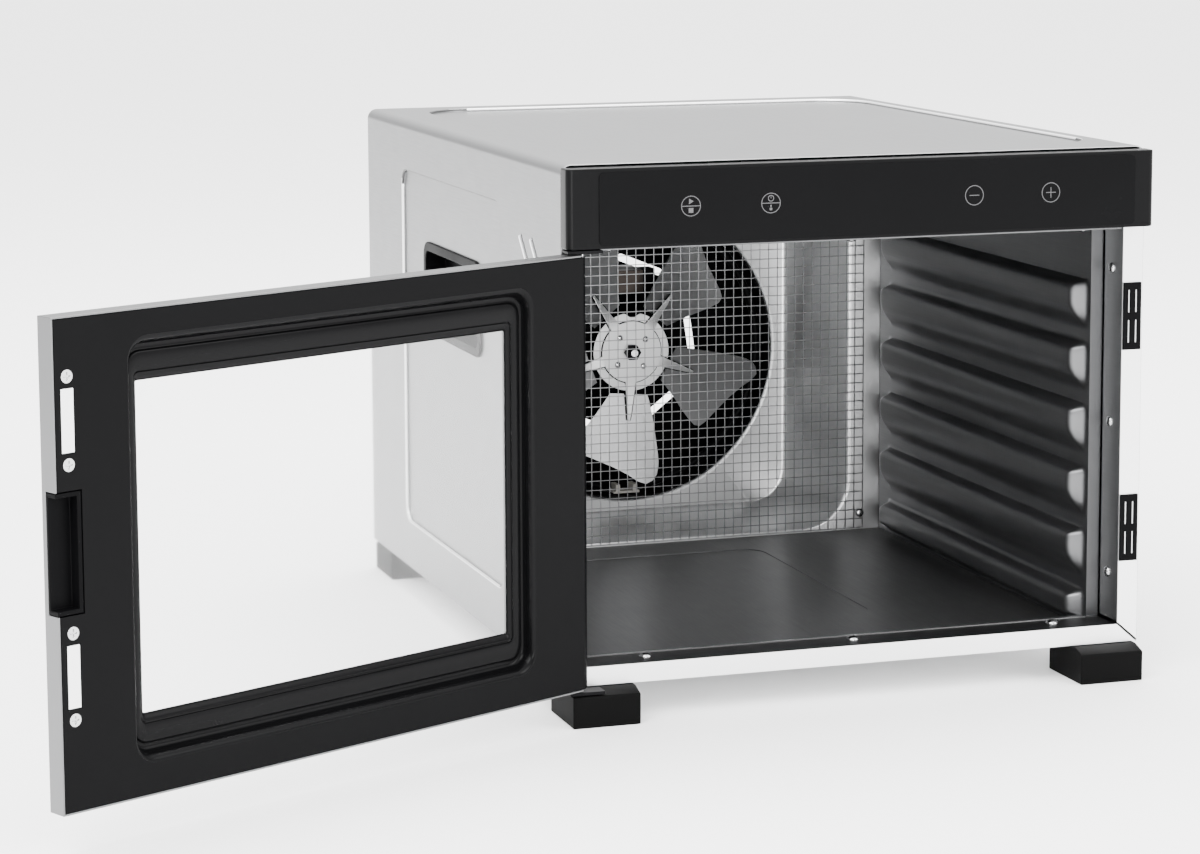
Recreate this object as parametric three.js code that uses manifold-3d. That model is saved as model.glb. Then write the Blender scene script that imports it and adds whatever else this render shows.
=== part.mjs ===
// Food dehydrator: steel cabinet with a ribbed drying chamber, a rear fan and a hinged glazed door.
// Millimetres. +X is to the right, +Y to the rear and +Z up.
// Drawn in the cabinet frame: x = 0 on the centre line, y = 0 at the front of the steel shell and
// z = 0 at the underside of the cabinet. The last function moves it to the part's own origin.
import * as THREE from 'three';
import Module from 'manifold-3d';
import { mergeVertices } from 'three/addons/utils/BufferGeometryUtils.js';

const wasm = await Module();
wasm.setup();

// ---------------------------------------------------------------- driving dimensions
const CABINET_WIDTH = 340;
const CABINET_HEIGHT = 281.5;
const CABINET_DEPTH = 421;
const HALF_WIDTH = CABINET_WIDTH / 2;
const SHEET = 0.9;
const GAP = 0.3;
const BEND_RADIUS = 6;
const FOOT_HEIGHT = 20;

const POST_WIDTH = 12.5;
const POST_RETURN = 22;
const RAIL_HEIGHT = 11;
const MITRE_GAP = 0.5;

const CHAMBER_HALF_WIDTH = 150;
const CHAMBER_FLOOR = 3;
const CHAMBER_TOP = 235;
const CHAMBER_BACK = 332;
const LINER_FRONT = 24;
const SILL_TOP = 10;
const SILL_REAR = 30;
const RIB_COUNT = 6;
const RIB_PITCH = 35.8;
const RIB_TOP = 203.5;
const RIB_DEPTH = 9;

const FAN_CENTRE_Z = 118.5;
const FAN_PLANE = 397;
const FAN_OPENING_RADIUS = 99;
const PLENUM_PANEL = 398;
const BLADE_COUNT = 5;
const FIRST_BLADE_ANGLE = -20;
const BLADE_SLOPE = -0.32;

const REAR_PANEL_FRONT = 419;
const COVER_DEPTH = 20;
const VENT_COUNT = 6;
const VENT_RADIUS = 56;
const VENT_LENGTH = 34;
const VENT_WIDTH = 4.8;
const FIRST_VENT_ANGLE = 8;

const BEZEL_FRONT = -12;
const BEZEL_BOTTOM = 237.3;
const BEZEL_TOP = 279.8;
const BEZEL_WALL = 2;

const HINGE_X = -164.5;
const HINGE_Y = -7;
const DOOR_OPEN_ANGLE = -154;
const DOOR_RIGHT = 168.5;
const DOOR_BOTTOM = 0.5;
const DOOR_TOP = 234.5;
const DOOR_FRONT = -12.5;
const DOOR_REAR = -1.5;
const DOOR_ROUND = 5.5;
const WINDOW_CENTRE_X = 1;
const STEP_CENTRE_X = -1.8;
const DOOR_CENTRE_Z = 119;
const WINDOW_HALF_WIDTH = 114;
const WINDOW_HALF_HEIGHT = 80.5;
const STEP_HALF_WIDTH = 128.5;
const STEP_HALF_HEIGHT = 102.5;
const CATCH_CENTRES = [65.8, 186];
const PIN_RADIUS = 2;
const RUNNING_CLEARANCE = 0.06;

// ---------------------------------------------------------------- materials
const FINISHES = {
  steel: { color: 0xc9cbcd, roughness: 0.32, metalness: 1.0 },
  bright_steel: { color: 0xe4e6e8, roughness: 0.18, metalness: 1.0 },
  liner_steel: { color: 0x8b8d90, roughness: 0.34, metalness: 1.0 },
  wire: { color: 0xd0d2d4, roughness: 0.3, metalness: 1.0 },
  aluminium: { color: 0xd6d8da, roughness: 0.36, metalness: 1.0 },
  black_plastic: { color: 0x17181a, roughness: 0.5, metalness: 0.0 },
  gloss_black: { color: 0x0b0c0e, roughness: 0.08, metalness: 0.0 },
  rubber: { color: 0x141414, roughness: 0.85, metalness: 0.0 },
  glass: { color: 0xdfe6e6, roughness: 0.03, metalness: 0.0 },
  dark_steel: { color: 0x3c3e41, roughness: 0.45, metalness: 1.0 },
  copper: { color: 0xb06a3a, roughness: 0.35, metalness: 1.0 },
  board: { color: 0x1f5a35, roughness: 0.55, metalness: 0.0 },
  ceramic: { color: 0xe6e1d6, roughness: 0.7, metalness: 0.0 },
};

function material(name) {
  return new THREE.MeshStandardMaterial({ name, ...FINISHES[name] });
}

// ---------------------------------------------------------------- solid helpers
function toSolid(geometry) {
  const bare = geometry.index ? geometry.toNonIndexed() : geometry.clone();
  bare.deleteAttribute('normal');
  bare.deleteAttribute('uv');
  const merged = mergeVertices(bare, 1e-4);
  const vertProperties = new Float32Array(merged.attributes.position.array);
  const triVerts = new Uint32Array(merged.index.array);
  return new wasm.Manifold(new wasm.Mesh({ numProp: 3, vertProperties, triVerts }));
}

function toGeometry(solid) {
  const mesh = solid.getMesh();
  const indexed = new THREE.BufferGeometry();
  indexed.setAttribute('position', new THREE.BufferAttribute(new Float32Array(mesh.vertProperties), 3));
  indexed.setIndex(new THREE.BufferAttribute(new Uint32Array(mesh.triVerts), 1));
  const flat = indexed.toNonIndexed();
  flat.computeVertexNormals();
  return flat;
}

function sum(...solids) {
  return solids.reduce((all, next) => all.add(next));
}

function cut(body, ...tools) {
  return tools.reduce((left, tool) => left.subtract(tool), body);
}

function node(name, solid, finish) {
  const mesh = new THREE.Mesh(toGeometry(solid), material(finish));
  mesh.name = name;
  return mesh;
}

// A box from its low and high corners.
function block(x0, x1, y0, y1, z0, z1) {
  const box = new THREE.BoxGeometry(x1 - x0, y1 - y0, z1 - z0);
  box.translate((x0 + x1) / 2, (y0 + y1) / 2, (z0 + z1) / 2);
  return toSolid(box);
}

function polygon(points) {
  return new THREE.Shape(points.map(([a, b]) => new THREE.Vector2(a, b)));
}

// Corner points of a rounded rectangle, the same number for every size.
function outline(a0, a1, b0, b1, radius, segments = 4) {
  const centres = [[a1 - radius, b0 + radius, -0.5], [a1 - radius, b1 - radius, 0],
    [a0 + radius, b1 - radius, 0.5], [a0 + radius, b0 + radius, 1]];
  const points = [];
  for (const [a, b, quarter] of centres) {
    for (let i = 0; i <= segments; i += 1) {
      const turn = Math.PI * (quarter + i / (2 * segments));
      points.push([a + radius * Math.cos(turn), b + radius * Math.sin(turn)]);
    }
  }
  return points;
}

function roundedRectangle(a0, a1, b0, b1, radius, segments = 4) {
  return polygon(outline(a0, a1, b0, b1, radius, segments));
}

function circle(a, b, radius) {
  const shape = new THREE.Shape();
  shape.absarc(a, b, radius, 0, 2 * Math.PI, false);
  return shape;
}

function extrude(shape, depth, curveSegments) {
  return new THREE.ExtrudeGeometry(shape, { depth, bevelEnabled: false, curveSegments });
}

// Shape drawn in x and z, thick along y.
function alongY(shape, y0, y1, curveSegments = 6) {
  const body = extrude(shape, y1 - y0, curveSegments);
  body.rotateX(Math.PI / 2);
  body.translate(0, y1, 0);
  return toSolid(body);
}

// Shape drawn in y and z, thick along x.
function alongX(shape, x0, x1, curveSegments = 6) {
  const body = extrude(shape, x1 - x0, curveSegments);
  body.applyMatrix4(new THREE.Matrix4().set(0, 0, 1, x0, 1, 0, 0, 0, 0, 1, 0, 0, 0, 0, 0, 1));
  return toSolid(body);
}

// Shape drawn in x and y, thick along z.
function alongZ(shape, z0, z1, curveSegments = 6) {
  const body = extrude(shape, z1 - z0, curveSegments);
  body.translate(0, 0, z0);
  return toSolid(body);
}

// A turned body: profile points are [radius, distance along y], the axis lies at x, z.
function turnedY(profile, x, z, segments = 24) {
  const points = profile.map(([r, y]) => new THREE.Vector2(r, y));
  const body = new THREE.LatheGeometry(points, segments);
  body.translate(x, 0, z);
  return toSolid(body);
}

function turnedZ(profile, x, y, segments = 20) {
  const points = profile.map(([r, z]) => new THREE.Vector2(r, z));
  const body = new THREE.LatheGeometry(points, segments);
  body.rotateX(Math.PI / 2);
  body.translate(x, y, 0);
  return toSolid(body);
}

function discY(x, z, radius, y0, y1, segments = 24) {
  return turnedY([[0, y0], [radius, y0], [radius, y1], [0, y1]], x, z, segments);
}

function discZ(x, y, radius, z0, z1, segments = 20) {
  return turnedZ([[0, z0], [radius, z0], [radius, z1], [0, z1]], x, y, segments);
}

function tube(points, radius, segments) {
  const path = new THREE.CatmullRomCurve3(points.map((p) => new THREE.Vector3(...p)));
  const options = { extrudePath: path, steps: segments, bevelEnabled: false, curveSegments: 8 };
  return toSolid(new THREE.ExtrudeGeometry(circle(0, 0, radius), options));
}

// A closed body through rings of points, every ring with the same number of points.
function loft(rings) {
  const count = rings[0].length;
  const last = (rings.length - 1) * count;
  const index = [];
  for (let base = 0; base < last; base += count) {
    for (let i = 0; i < count; i += 1) {
      const j = (i + 1) % count;
      index.push(base + i, base + count + i, base + j);
      index.push(base + j, base + count + i, base + count + j);
    }
  }
  for (let i = 1; i < count - 1; i += 1) {
    index.push(0, i, i + 1);
    index.push(last, last + i + 1, last + i);
  }
  const body = new THREE.BufferGeometry();
  body.setAttribute('position', new THREE.BufferAttribute(new Float32Array(rings.flat(2)), 3));
  body.setIndex(index);
  return toSolid(body);
}

// Two outlines in x and z, each on its own y plane.
function loftY(front, frontY, rear, rearY) {
  return loft([front.map(([x, z]) => [x, frontY, z]), rear.map(([x, z]) => [x, rearY, z])]);
}

// ---------------------------------------------------------------- cabinet shell
const SIDE_PANEL = { front: 116, rear: 334, low: 30, high: 250, radius: 9, depth: 2 };
const TOP_PANEL = { left: -141, right: 156, front: 27, rear: 401, radius: 32, depth: 2 };
const HANDLE = { front: 165, rear: 283, low: 158, high: 208, radius: 7 };
const LOUVRES = [[75, 236], [54.4, 236]];
const LOUVRE_RUN = 17;
const LOUVRE_WIDTH = 3.6;

function sidePocket(side) {
  const p = SIDE_PANEL;
  const shape = roundedRectangle(p.front, p.rear, p.low, p.high, p.radius);
  const outer = side * HALF_WIDTH;
  const inner = side * (HALF_WIDTH - p.depth);
  return alongX(shape, Math.min(outer, inner), Math.max(outer, inner) + (side > 0 ? 1 : 0), 4);
}

function sideBacking(side) {
  const p = SIDE_PANEL;
  const shape = roundedRectangle(
    p.front - SHEET, p.rear + SHEET, p.low - SHEET, p.high + SHEET, p.radius + SHEET);
  const outer = side * (HALF_WIDTH - SHEET / 2);
  const inner = side * (HALF_WIDTH - p.depth - SHEET);
  return alongX(shape, Math.min(outer, inner), Math.max(outer, inner), 4);
}

function louvre([y, z]) {
  const half = LOUVRE_WIDTH / 2;
  const corners = [
    [y - half, z + half], [y + half, z - half],
    [y + half - LOUVRE_RUN, z - half - LOUVRE_RUN], [y - half - LOUVRE_RUN, z + half - LOUVRE_RUN],
  ];
  return alongX(polygon(corners), -HALF_WIDTH - 5, -HALF_WIDTH + 10);
}

function outerWrap() {
  const outerShape = new THREE.Shape();
  outerShape.moveTo(-HALF_WIDTH, 0);
  outerShape.lineTo(HALF_WIDTH, 0);
  outerShape.lineTo(HALF_WIDTH, CABINET_HEIGHT - BEND_RADIUS);
  outerShape.absarc(HALF_WIDTH - BEND_RADIUS, CABINET_HEIGHT - BEND_RADIUS, BEND_RADIUS, 0, Math.PI / 2);
  outerShape.lineTo(-HALF_WIDTH + BEND_RADIUS, CABINET_HEIGHT);
  outerShape.absarc(
    -HALF_WIDTH + BEND_RADIUS, CABINET_HEIGHT - BEND_RADIUS, BEND_RADIUS, Math.PI / 2, Math.PI);
  const innerRadius = BEND_RADIUS - SHEET;
  const innerShape = new THREE.Shape();
  innerShape.moveTo(-HALF_WIDTH + SHEET, -1);
  innerShape.lineTo(HALF_WIDTH - SHEET, -1);
  innerShape.lineTo(HALF_WIDTH - SHEET, CABINET_HEIGHT - BEND_RADIUS);
  innerShape.absarc(
    HALF_WIDTH - BEND_RADIUS, CABINET_HEIGHT - BEND_RADIUS, innerRadius, 0, Math.PI / 2);
  innerShape.lineTo(-HALF_WIDTH + BEND_RADIUS, CABINET_HEIGHT - SHEET);
  innerShape.absarc(
    -HALF_WIDTH + BEND_RADIUS, CABINET_HEIGHT - BEND_RADIUS, innerRadius, Math.PI / 2, Math.PI);
  let shell = cut(alongY(outerShape, 0, CABINET_DEPTH, 5), alongY(innerShape, -1, CABINET_DEPTH + 1, 5));
  for (const side of [-1, 1]) {
    shell = sum(cut(shell, sidePocket(side)), cut(sideBacking(side), sidePocket(side)), frontPost(side));
    shell = cut(shell, handleOpening(side));
  }
  const p = TOP_PANEL;
  const pocketShape = roundedRectangle(p.left, p.right, p.front, p.rear, p.radius);
  const pocket = alongZ(pocketShape, CABINET_HEIGHT - p.depth, CABINET_HEIGHT + 1, 8);
  const backingShape = roundedRectangle(
    p.left - SHEET, p.right + SHEET, p.front - SHEET, p.rear + SHEET, p.radius + SHEET);
  const backing = alongZ(
    backingShape, CABINET_HEIGHT - p.depth - SHEET, CABINET_HEIGHT - SHEET / 2, 8);
  shell = sum(cut(shell, pocket), cut(backing, pocket));
  return node('outer_wrap', cut(shell, ...LOUVRES.map(louvre)), 'steel');
}

function handleOpening(side) {
  const shape = roundedRectangle(HANDLE.front, HANDLE.rear, HANDLE.low, HANDLE.high, HANDLE.radius);
  const centre = side * HALF_WIDTH;
  return alongX(shape, centre - 8, centre + 8, 4);
}

// The front edge of the side sheet: a face turned in and a return along the doorway.
function frontPost(side) {
  const inner = side * (HALF_WIDTH - POST_WIDTH);
  const outer = side * HALF_WIDTH;
  const mitre = [[inner, RAIL_HEIGHT + MITRE_GAP], [outer, 0], [outer, CABINET_HEIGHT - BEND_RADIUS],
    [inner, CABINET_HEIGHT - BEND_RADIUS]];
  const corners = side > 0 ? mitre : [...mitre].reverse();
  const face = alongY(polygon(corners), 0, SHEET);
  const returnX = side * (HALF_WIDTH - POST_WIDTH + SHEET);
  const flange = block(Math.min(inner, returnX), Math.max(inner, returnX), 0, POST_RETURN,
    RAIL_HEIGHT + 1, CABINET_HEIGHT - BEND_RADIUS - 10);
  return sum(face, flange);
}

function basePan() {
  const half = HALF_WIDTH - SHEET - GAP;
  const floor = block(-half, half, 0, REAR_PANEL_FRONT - GAP, 0, SHEET);
  const inner = HALF_WIDTH - POST_WIDTH;
  const slope = RAIL_HEIGHT / POST_WIDTH;
  const low = (HALF_WIDTH - half) * slope;
  const face = [[-half, 0], [half, 0], [half, low - MITRE_GAP], [inner, RAIL_HEIGHT - MITRE_GAP],
    [-inner, RAIL_HEIGHT - MITRE_GAP], [-half, low - MITRE_GAP]];
  return node('base_pan', sum(floor, alongY(polygon(face), 0, SHEET)), 'bright_steel');
}

// ---------------------------------------------------------------- drying chamber
function ribPath(offset) {
  const wall = CHAMBER_HALF_WIDTH + offset;
  const crest = CHAMBER_HALF_WIDTH - RIB_DEPTH + offset;
  const path = [[wall, CHAMBER_TOP - GAP]];
  for (let i = 0; i < RIB_COUNT; i += 1) {
    const top = RIB_TOP - i * RIB_PITCH;
    path.push([wall, top], [crest + 2, top - 3.5], [crest, top - 6.5], [crest, top - 10.5]);
    path.push([wall - 1.2, top - 20], [wall, top - (i === RIB_COUNT - 1 ? 20.8 : 24)]);
  }
  path.push([wall, CHAMBER_FLOOR + GAP]);
  return path;
}

function chamberLiner(side) {
  const profile = [...ribPath(0), ...ribPath(SHEET).reverse()].map(([x, z]) => [side * x, z]);
  const shape = polygon(side > 0 ? profile : profile.reverse());
  const wall = alongY(shape, LINER_FRONT, CHAMBER_BACK - 2 * GAP, 2);
  const reach = HALF_WIDTH - POST_WIDTH + SHEET;
  const x0 = side * (CHAMBER_HALF_WIDTH + SHEET / 2);
  const x1 = side * reach;
  const flange = block(Math.min(x0, x1), Math.max(x0, x1), LINER_FRONT, LINER_FRONT + SHEET,
    SILL_TOP, CHAMBER_TOP - GAP);
  const notch = block(-HALF_WIDTH, HALF_WIDTH, 0, SILL_REAR + GAP, 0, SILL_TOP + GAP);
  const name = side > 0 ? 'chamber_wall_right' : 'chamber_wall_left';
  return node(name, cut(sum(wall, flange), notch), 'liner_steel');
}

function chamberFloor() {
  const half = CHAMBER_HALF_WIDTH + SHEET;
  const floor = block(-half, half, SILL_REAR - SHEET, CHAMBER_BACK - GAP,
    CHAMBER_FLOOR - SHEET, CHAMBER_FLOOR);
  const riser = block(-half, half, SILL_REAR - SHEET, SILL_REAR, CHAMBER_FLOOR - SHEET, SILL_TOP);
  const sillHalf = HALF_WIDTH - POST_WIDTH - GAP;
  const sill = block(-sillHalf, sillHalf, SHEET + GAP, SILL_REAR, SILL_TOP - SHEET, SILL_TOP);
  const dish = alongZ(roundedRectangle(-78, 52, 100, 296, 14), CHAMBER_FLOOR - 0.5, CHAMBER_FLOOR + 1, 4);
  return node('chamber_floor', cut(sum(floor, riser, sill), dish), 'liner_steel');
}

function chamberCeiling() {
  const half = HALF_WIDTH - POST_WIDTH - GAP;
  const plate = block(-half, half, SHEET + GAP, CHAMBER_BACK - GAP, CHAMBER_TOP, CHAMBER_TOP + SHEET);
  const lip = block(-half, half, SHEET + GAP, 2 * SHEET + GAP, CHAMBER_TOP, CHAMBER_TOP + 14);
  const cable = discZ(120, 60, 9, CHAMBER_TOP - 1, CHAMBER_TOP + SHEET + 1);
  return node('chamber_ceiling', cut(sum(plate, lip), cable), 'liner_steel');
}

const RECESS_FRONT = [-128.5, 128.5, 7, 230, 30];
const RECESS_REAR = [-107, 107, 12.5, 224.5, 22];

function grown([a0, a1, b0, b1, radius], extra) {
  return outline(a0 - extra, a1 + extra, b0 - extra, b1 + extra, radius + extra);
}

function plenumPanel() {
  const half = CHAMBER_HALF_WIDTH + 8;
  const flange = block(-half, half, CHAMBER_BACK, CHAMBER_BACK + SHEET, SHEET + GAP, CABINET_HEIGHT - 30);
  const outer = loftY(grown(RECESS_FRONT, SHEET), CHAMBER_BACK, grown(RECESS_REAR, SHEET),
    PLENUM_PANEL + SHEET);
  const inner = loftY(grown(RECESS_FRONT, 0), CHAMBER_BACK - 0.01, grown(RECESS_REAR, 0), PLENUM_PANEL);
  const opening = discY(0, FAN_CENTRE_Z, FAN_OPENING_RADIUS, PLENUM_PANEL - 1, PLENUM_PANEL + 5, 48);
  return node('plenum_panel', cut(sum(flange, outer), inner, opening), 'steel');
}

const GUARD = { half: 139, low: 3.6, high: 233, rim: 5, front: 330, bar: 1.4 };

function meshGuard() {
  const g = GUARD;
  const rear = g.front + g.bar;
  const rim = cut(block(-g.half, g.half, g.front, rear, g.low, g.high),
    block(-g.half + g.rim, g.half - g.rim, g.front - 1, rear + 1, g.low + g.rim, g.high - g.rim));
  const bars = [];
  const columns = 8;
  const rows = 7;
  for (let i = 1; i < columns; i += 1) {
    const x = -g.half + (2 * g.half * i) / columns;
    bars.push(block(x - g.bar / 2, x + g.bar / 2, g.front, rear, g.low + 1, g.high - 1));
  }
  for (let i = 1; i < rows; i += 1) {
    const z = g.low + ((g.high - g.low) * i) / rows;
    bars.push(block(-g.half + 1, g.half - 1, g.front, rear, z - g.bar / 2, z + g.bar / 2));
  }
  return node('mesh_guard', sum(rim, ...bars), 'wire');
}

// ---------------------------------------------------------------- rear of the cabinet
const SHROUD_OUTER = FAN_OPENING_RADIUS - GAP;
const SHROUD_FRONT = 397;
const COVER_HALF_WIDTH = 118;
const COVER_LOW = 14;
const COVER_HIGH = 222;

function fanShroud() {
  const inner = SHROUD_OUTER - SHEET;
  const profile = [[inner, SHROUD_FRONT], [SHROUD_OUTER, SHROUD_FRONT],
    [SHROUD_OUTER, REAR_PANEL_FRONT - GAP - SHEET], [SHROUD_OUTER + 6, REAR_PANEL_FRONT - GAP - SHEET],
    [SHROUD_OUTER + 6, REAR_PANEL_FRONT - GAP], [inner, REAR_PANEL_FRONT - GAP], [inner, SHROUD_FRONT]];
  return node('fan_shroud', turnedY(profile, 0, FAN_CENTRE_Z, 48), 'dark_steel');
}

function rearPanel() {
  const half = HALF_WIDTH - SHEET - GAP;
  const top = CABINET_HEIGHT - TOP_PANEL.depth - SHEET - GAP;
  const lower = block(-half, half, REAR_PANEL_FRONT, REAR_PANEL_FRONT + SHEET, 0, top - 20);
  const upper = alongY(roundedRectangle(-half, half, top - 40, top, BEND_RADIUS),
    REAR_PANEL_FRONT, REAR_PANEL_FRONT + SHEET);
  const plate = sum(lower, upper);
  const opening = discY(0, FAN_CENTRE_Z, SHROUD_OUTER - SHEET, REAR_PANEL_FRONT - 1,
    REAR_PANEL_FRONT + 3, 48);
  const inletHole = block(INLET.x - 14.5, INLET.x + 14.5, REAR_PANEL_FRONT - 1, REAR_PANEL_FRONT + 3,
    INLET.z - 10.5, INLET.z + 10.5);
  return node('rear_panel', cut(plate, opening, inletHole), 'steel');
}

function ventSlot(index) {
  const half = VENT_LENGTH / 2;
  const end = VENT_WIDTH / 2;
  const shape = new THREE.Shape();
  shape.absarc(VENT_RADIUS, half - end, end, 0, Math.PI, false);
  shape.absarc(VENT_RADIUS, -half + end, end, Math.PI, 2 * Math.PI, false);
  const slot = extrude(shape, 10, 4);
  slot.rotateX(Math.PI / 2);
  const angle = THREE.MathUtils.degToRad(FIRST_VENT_ANGLE + (index * 360) / VENT_COUNT);
  slot.rotateY(-angle);
  slot.translate(0, CABINET_DEPTH + COVER_DEPTH + 4, FAN_CENTRE_Z);
  return toSolid(slot);
}

function rearCover() {
  const front = REAR_PANEL_FRONT + SHEET + GAP;
  const rear = CABINET_DEPTH + COVER_DEPTH;
  const flange = alongY(
    roundedRectangle(-COVER_HALF_WIDTH, COVER_HALF_WIDTH, COVER_LOW, COVER_HIGH, 14), front,
    front + SHEET);
  const wide = [-COVER_HALF_WIDTH + 8, COVER_HALF_WIDTH - 8, COVER_LOW + 8, COVER_HIGH - 8, 14];
  const narrow = [-COVER_HALF_WIDTH + 16, COVER_HALF_WIDTH - 16, COVER_LOW + 16, COVER_HIGH - 16, 12];
  const outer = loftY(grown(wide, 0), front, grown(narrow, 0), rear);
  const inner = loftY(grown(wide, -SHEET), front - 0.01, grown(narrow, -SHEET), rear - SHEET);
  let cover = cut(sum(flange, outer), inner);
  for (let i = 0; i < VENT_COUNT; i += 1) {
    cover = cover.subtract(ventSlot(i));
  }
  return node('rear_cover', cover, 'black_plastic');
}

const INLET = { x: 138, z: 40 };

function powerInlet() {
  const rear = REAR_PANEL_FRONT + SHEET + GAP;
  const flange = block(INLET.x - 20, INLET.x + 20, rear, rear + 2.5, INLET.z - 14, INLET.z + 14);
  const body = block(INLET.x - 14, INLET.x + 14, REAR_PANEL_FRONT - 18, rear + 2.5,
    INLET.z - 10, INLET.z + 10);
  const cavity = block(INLET.x - 12, INLET.x + 12, REAR_PANEL_FRONT - 14, rear + 3,
    INLET.z - 8, INLET.z + 8);
  let inlet = cut(sum(flange, body), cavity);
  for (const dx of [-7, 0, 7]) {
    const dz = dx === 0 ? 2 : -2;
    inlet = inlet.add(block(INLET.x + dx - 1, INLET.x + dx + 1, REAR_PANEL_FRONT - 16, rear - 1,
      INLET.z + dz - 1.5, INLET.z + dz + 1.5));
  }
  return node('power_inlet', inlet, 'black_plastic');
}

// ---------------------------------------------------------------- fan and motor
const SHAFT_RADIUS = 2.5;
const ARM_LENGTH = 46;
const ARM_THICKNESS = 1.5;
const SLOPE_START = 16;
const SLOPE_FULL = 27;

// Fan coordinates: u along an arm, v across it and y to the rear. The slope grows along the arm, so
// that each blade meets the air at a slant.
function onArm(u, v, y, angle) {
  const turn = THREE.MathUtils.degToRad(angle);
  const share = THREE.MathUtils.smoothstep(u, SLOPE_START, SLOPE_FULL);
  const x = u * Math.cos(turn) - v * Math.sin(turn);
  const z = u * Math.sin(turn) + v * Math.cos(turn);
  return [x, y + v * BLADE_SLOPE * share, z + FAN_CENTRE_Z];
}

function bladeAngle(index) {
  return FIRST_BLADE_ANGLE + (index * 360) / BLADE_COUNT;
}

function fanArm(index) {
  const widths = [[12, 7.5], [SLOPE_START, 7.5], [19, 7.2], [22, 6.8], [SLOPE_FULL, 6], [ARM_LENGTH, 4]];
  const angle = bladeAngle(index);
  const rings = widths.map(([u, v]) => [
    onArm(u, -v, FAN_PLANE - ARM_THICKNESS, angle), onArm(u, v, FAN_PLANE - ARM_THICKNESS, angle),
    onArm(u, v, FAN_PLANE, angle), onArm(u, -v, FAN_PLANE, angle),
  ]);
  return loft(rings);
}

function fanHub() {
  const disc = discY(0, FAN_CENTRE_Z, 20, FAN_PLANE - ARM_THICKNESS - 0.2, FAN_PLANE + 0.2, 30);
  const boss = discY(0, FAN_CENTRE_Z, 6.5, FAN_PLANE - 1, FAN_PLANE + 8, 20);
  let hub = sum(disc, boss);
  for (let i = 0; i < BLADE_COUNT; i += 1) {
    hub = hub.add(fanArm(i));
  }
  const bore = discY(0, FAN_CENTRE_Z, SHAFT_RADIUS + GAP, FAN_PLANE - 10, FAN_PLANE + 20, 20);
  return node('fan_hub', hub.subtract(bore), 'aluminium');
}

function fanBlade(index) {
  const paddle = [[28.5, -12.8], [32, -14], [45, -22], [58, -31], [63, -34], [67, -33], [72, -20],
    [77, -9], [84, 3], [88.6, 9], [88.8, 12.5], [86.5, 16], [82, 18.6], [76, 19.6], [60, 17.6],
    [44, 15], [32, 13], [28.5, 12]];
  const body = extrude(polygon(paddle), 1, 1);
  const position = body.attributes.position;
  for (let i = 0; i < position.count; i += 1) {
    const y = FAN_PLANE + 1.6 - position.getZ(i);
    position.setXYZ(i, ...onArm(position.getX(i), position.getY(i), y, bladeAngle(index)));
  }
  return node(`fan_blade_${index + 1}`, toSolid(body), 'aluminium');
}

function motorShaft() {
  const z = FAN_CENTRE_Z;
  return node('motor_shaft', discY(0, z, SHAFT_RADIUS, FAN_PLANE - 9, 437, 20), 'bright_steel');
}

function hexagon(x, z, radius) {
  const points = [];
  for (let i = 0; i < 6; i += 1) {
    const turn = (i * Math.PI) / 3;
    points.push([x + radius * Math.cos(turn), z + radius * Math.sin(turn)]);
  }
  return polygon(points);
}

function fanNut() {
  const nut = alongY(hexagon(0, FAN_CENTRE_Z, 5.5), FAN_PLANE - 6.3, FAN_PLANE - 1.8);
  const bore = discY(0, FAN_CENTRE_Z, SHAFT_RADIUS + 0.1, FAN_PLANE - 20, FAN_PLANE + 5, 20);
  return node('fan_nut', nut.subtract(bore), 'bright_steel');
}

const ROTOR = { radius: 12.5, front: 417, rear: 430 };

function motorRotor() {
  const profile = [[SHAFT_RADIUS + 0.1, ROTOR.front], [ROTOR.radius, ROTOR.front],
    [ROTOR.radius, ROTOR.rear], [SHAFT_RADIUS + 0.1, ROTOR.rear], [SHAFT_RADIUS + 0.1, ROTOR.front]];
  return node('motor_rotor', turnedY(profile, 0, FAN_CENTRE_Z, 24), 'dark_steel');
}

function motorStator() {
  const z = FAN_CENTRE_Z;
  const core = block(-24, 24, ROTOR.front + 0.5, ROTOR.rear - 0.5, z - 21, z + 52);
  const window = block(-14, 14, ROTOR.front, ROTOR.rear, z + 19, z + 42);
  const bore = discY(0, z, ROTOR.radius + 0.6, ROTOR.front - 1, ROTOR.rear + 1, 24);
  return node('motor_stator', cut(core, window, bore), 'dark_steel');
}

function motorCoil() {
  const z = FAN_CENTRE_Z + 47;
  const outer = block(-13.4, 13.4, 410, 436, z - 10.5, z + 11.5);
  const hole = block(-20, 20, ROTOR.front + 0.2, ROTOR.rear - 0.2, z - 5.3, z + 5.3);
  const leads = block(-20, 20, 400, 445, z + 5.2, z + 20);
  return node('motor_coil', cut(outer, hole, leads), 'copper');
}

function motorBracket() {
  const z = FAN_CENTRE_Z;
  const bar = block(-34, 34, 432, 433.5, z - 9, z + 9);
  const feet = [-34, 31].map((x) => block(x, x + 3, 432, CABINET_DEPTH + COVER_DEPTH - SHEET - GAP, z - 9, z + 9));
  const boss = discY(0, z, 7, 432, 437.5, 20);
  const bore = discY(0, z, SHAFT_RADIUS + RUNNING_CLEARANCE, 425, 445, 20);
  return node('motor_bracket', cut(sum(bar, ...feet, boss), bore), 'steel');
}

function motorFrontBearing() {
  const z = FAN_CENTRE_Z;
  const bridge = block(-23, 23, 413.5, 415, z - 7, z + 7);
  const boss = discY(0, z, 7, 411.5, 415, 20);
  const bore = discY(0, z, SHAFT_RADIUS + RUNNING_CLEARANCE, 405, 420, 20);
  return node('motor_front_bearing', cut(sum(bridge, boss), bore), 'steel');
}

const HEATER = { radius: 93.2, tube: 2.5, y: 411 };

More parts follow.
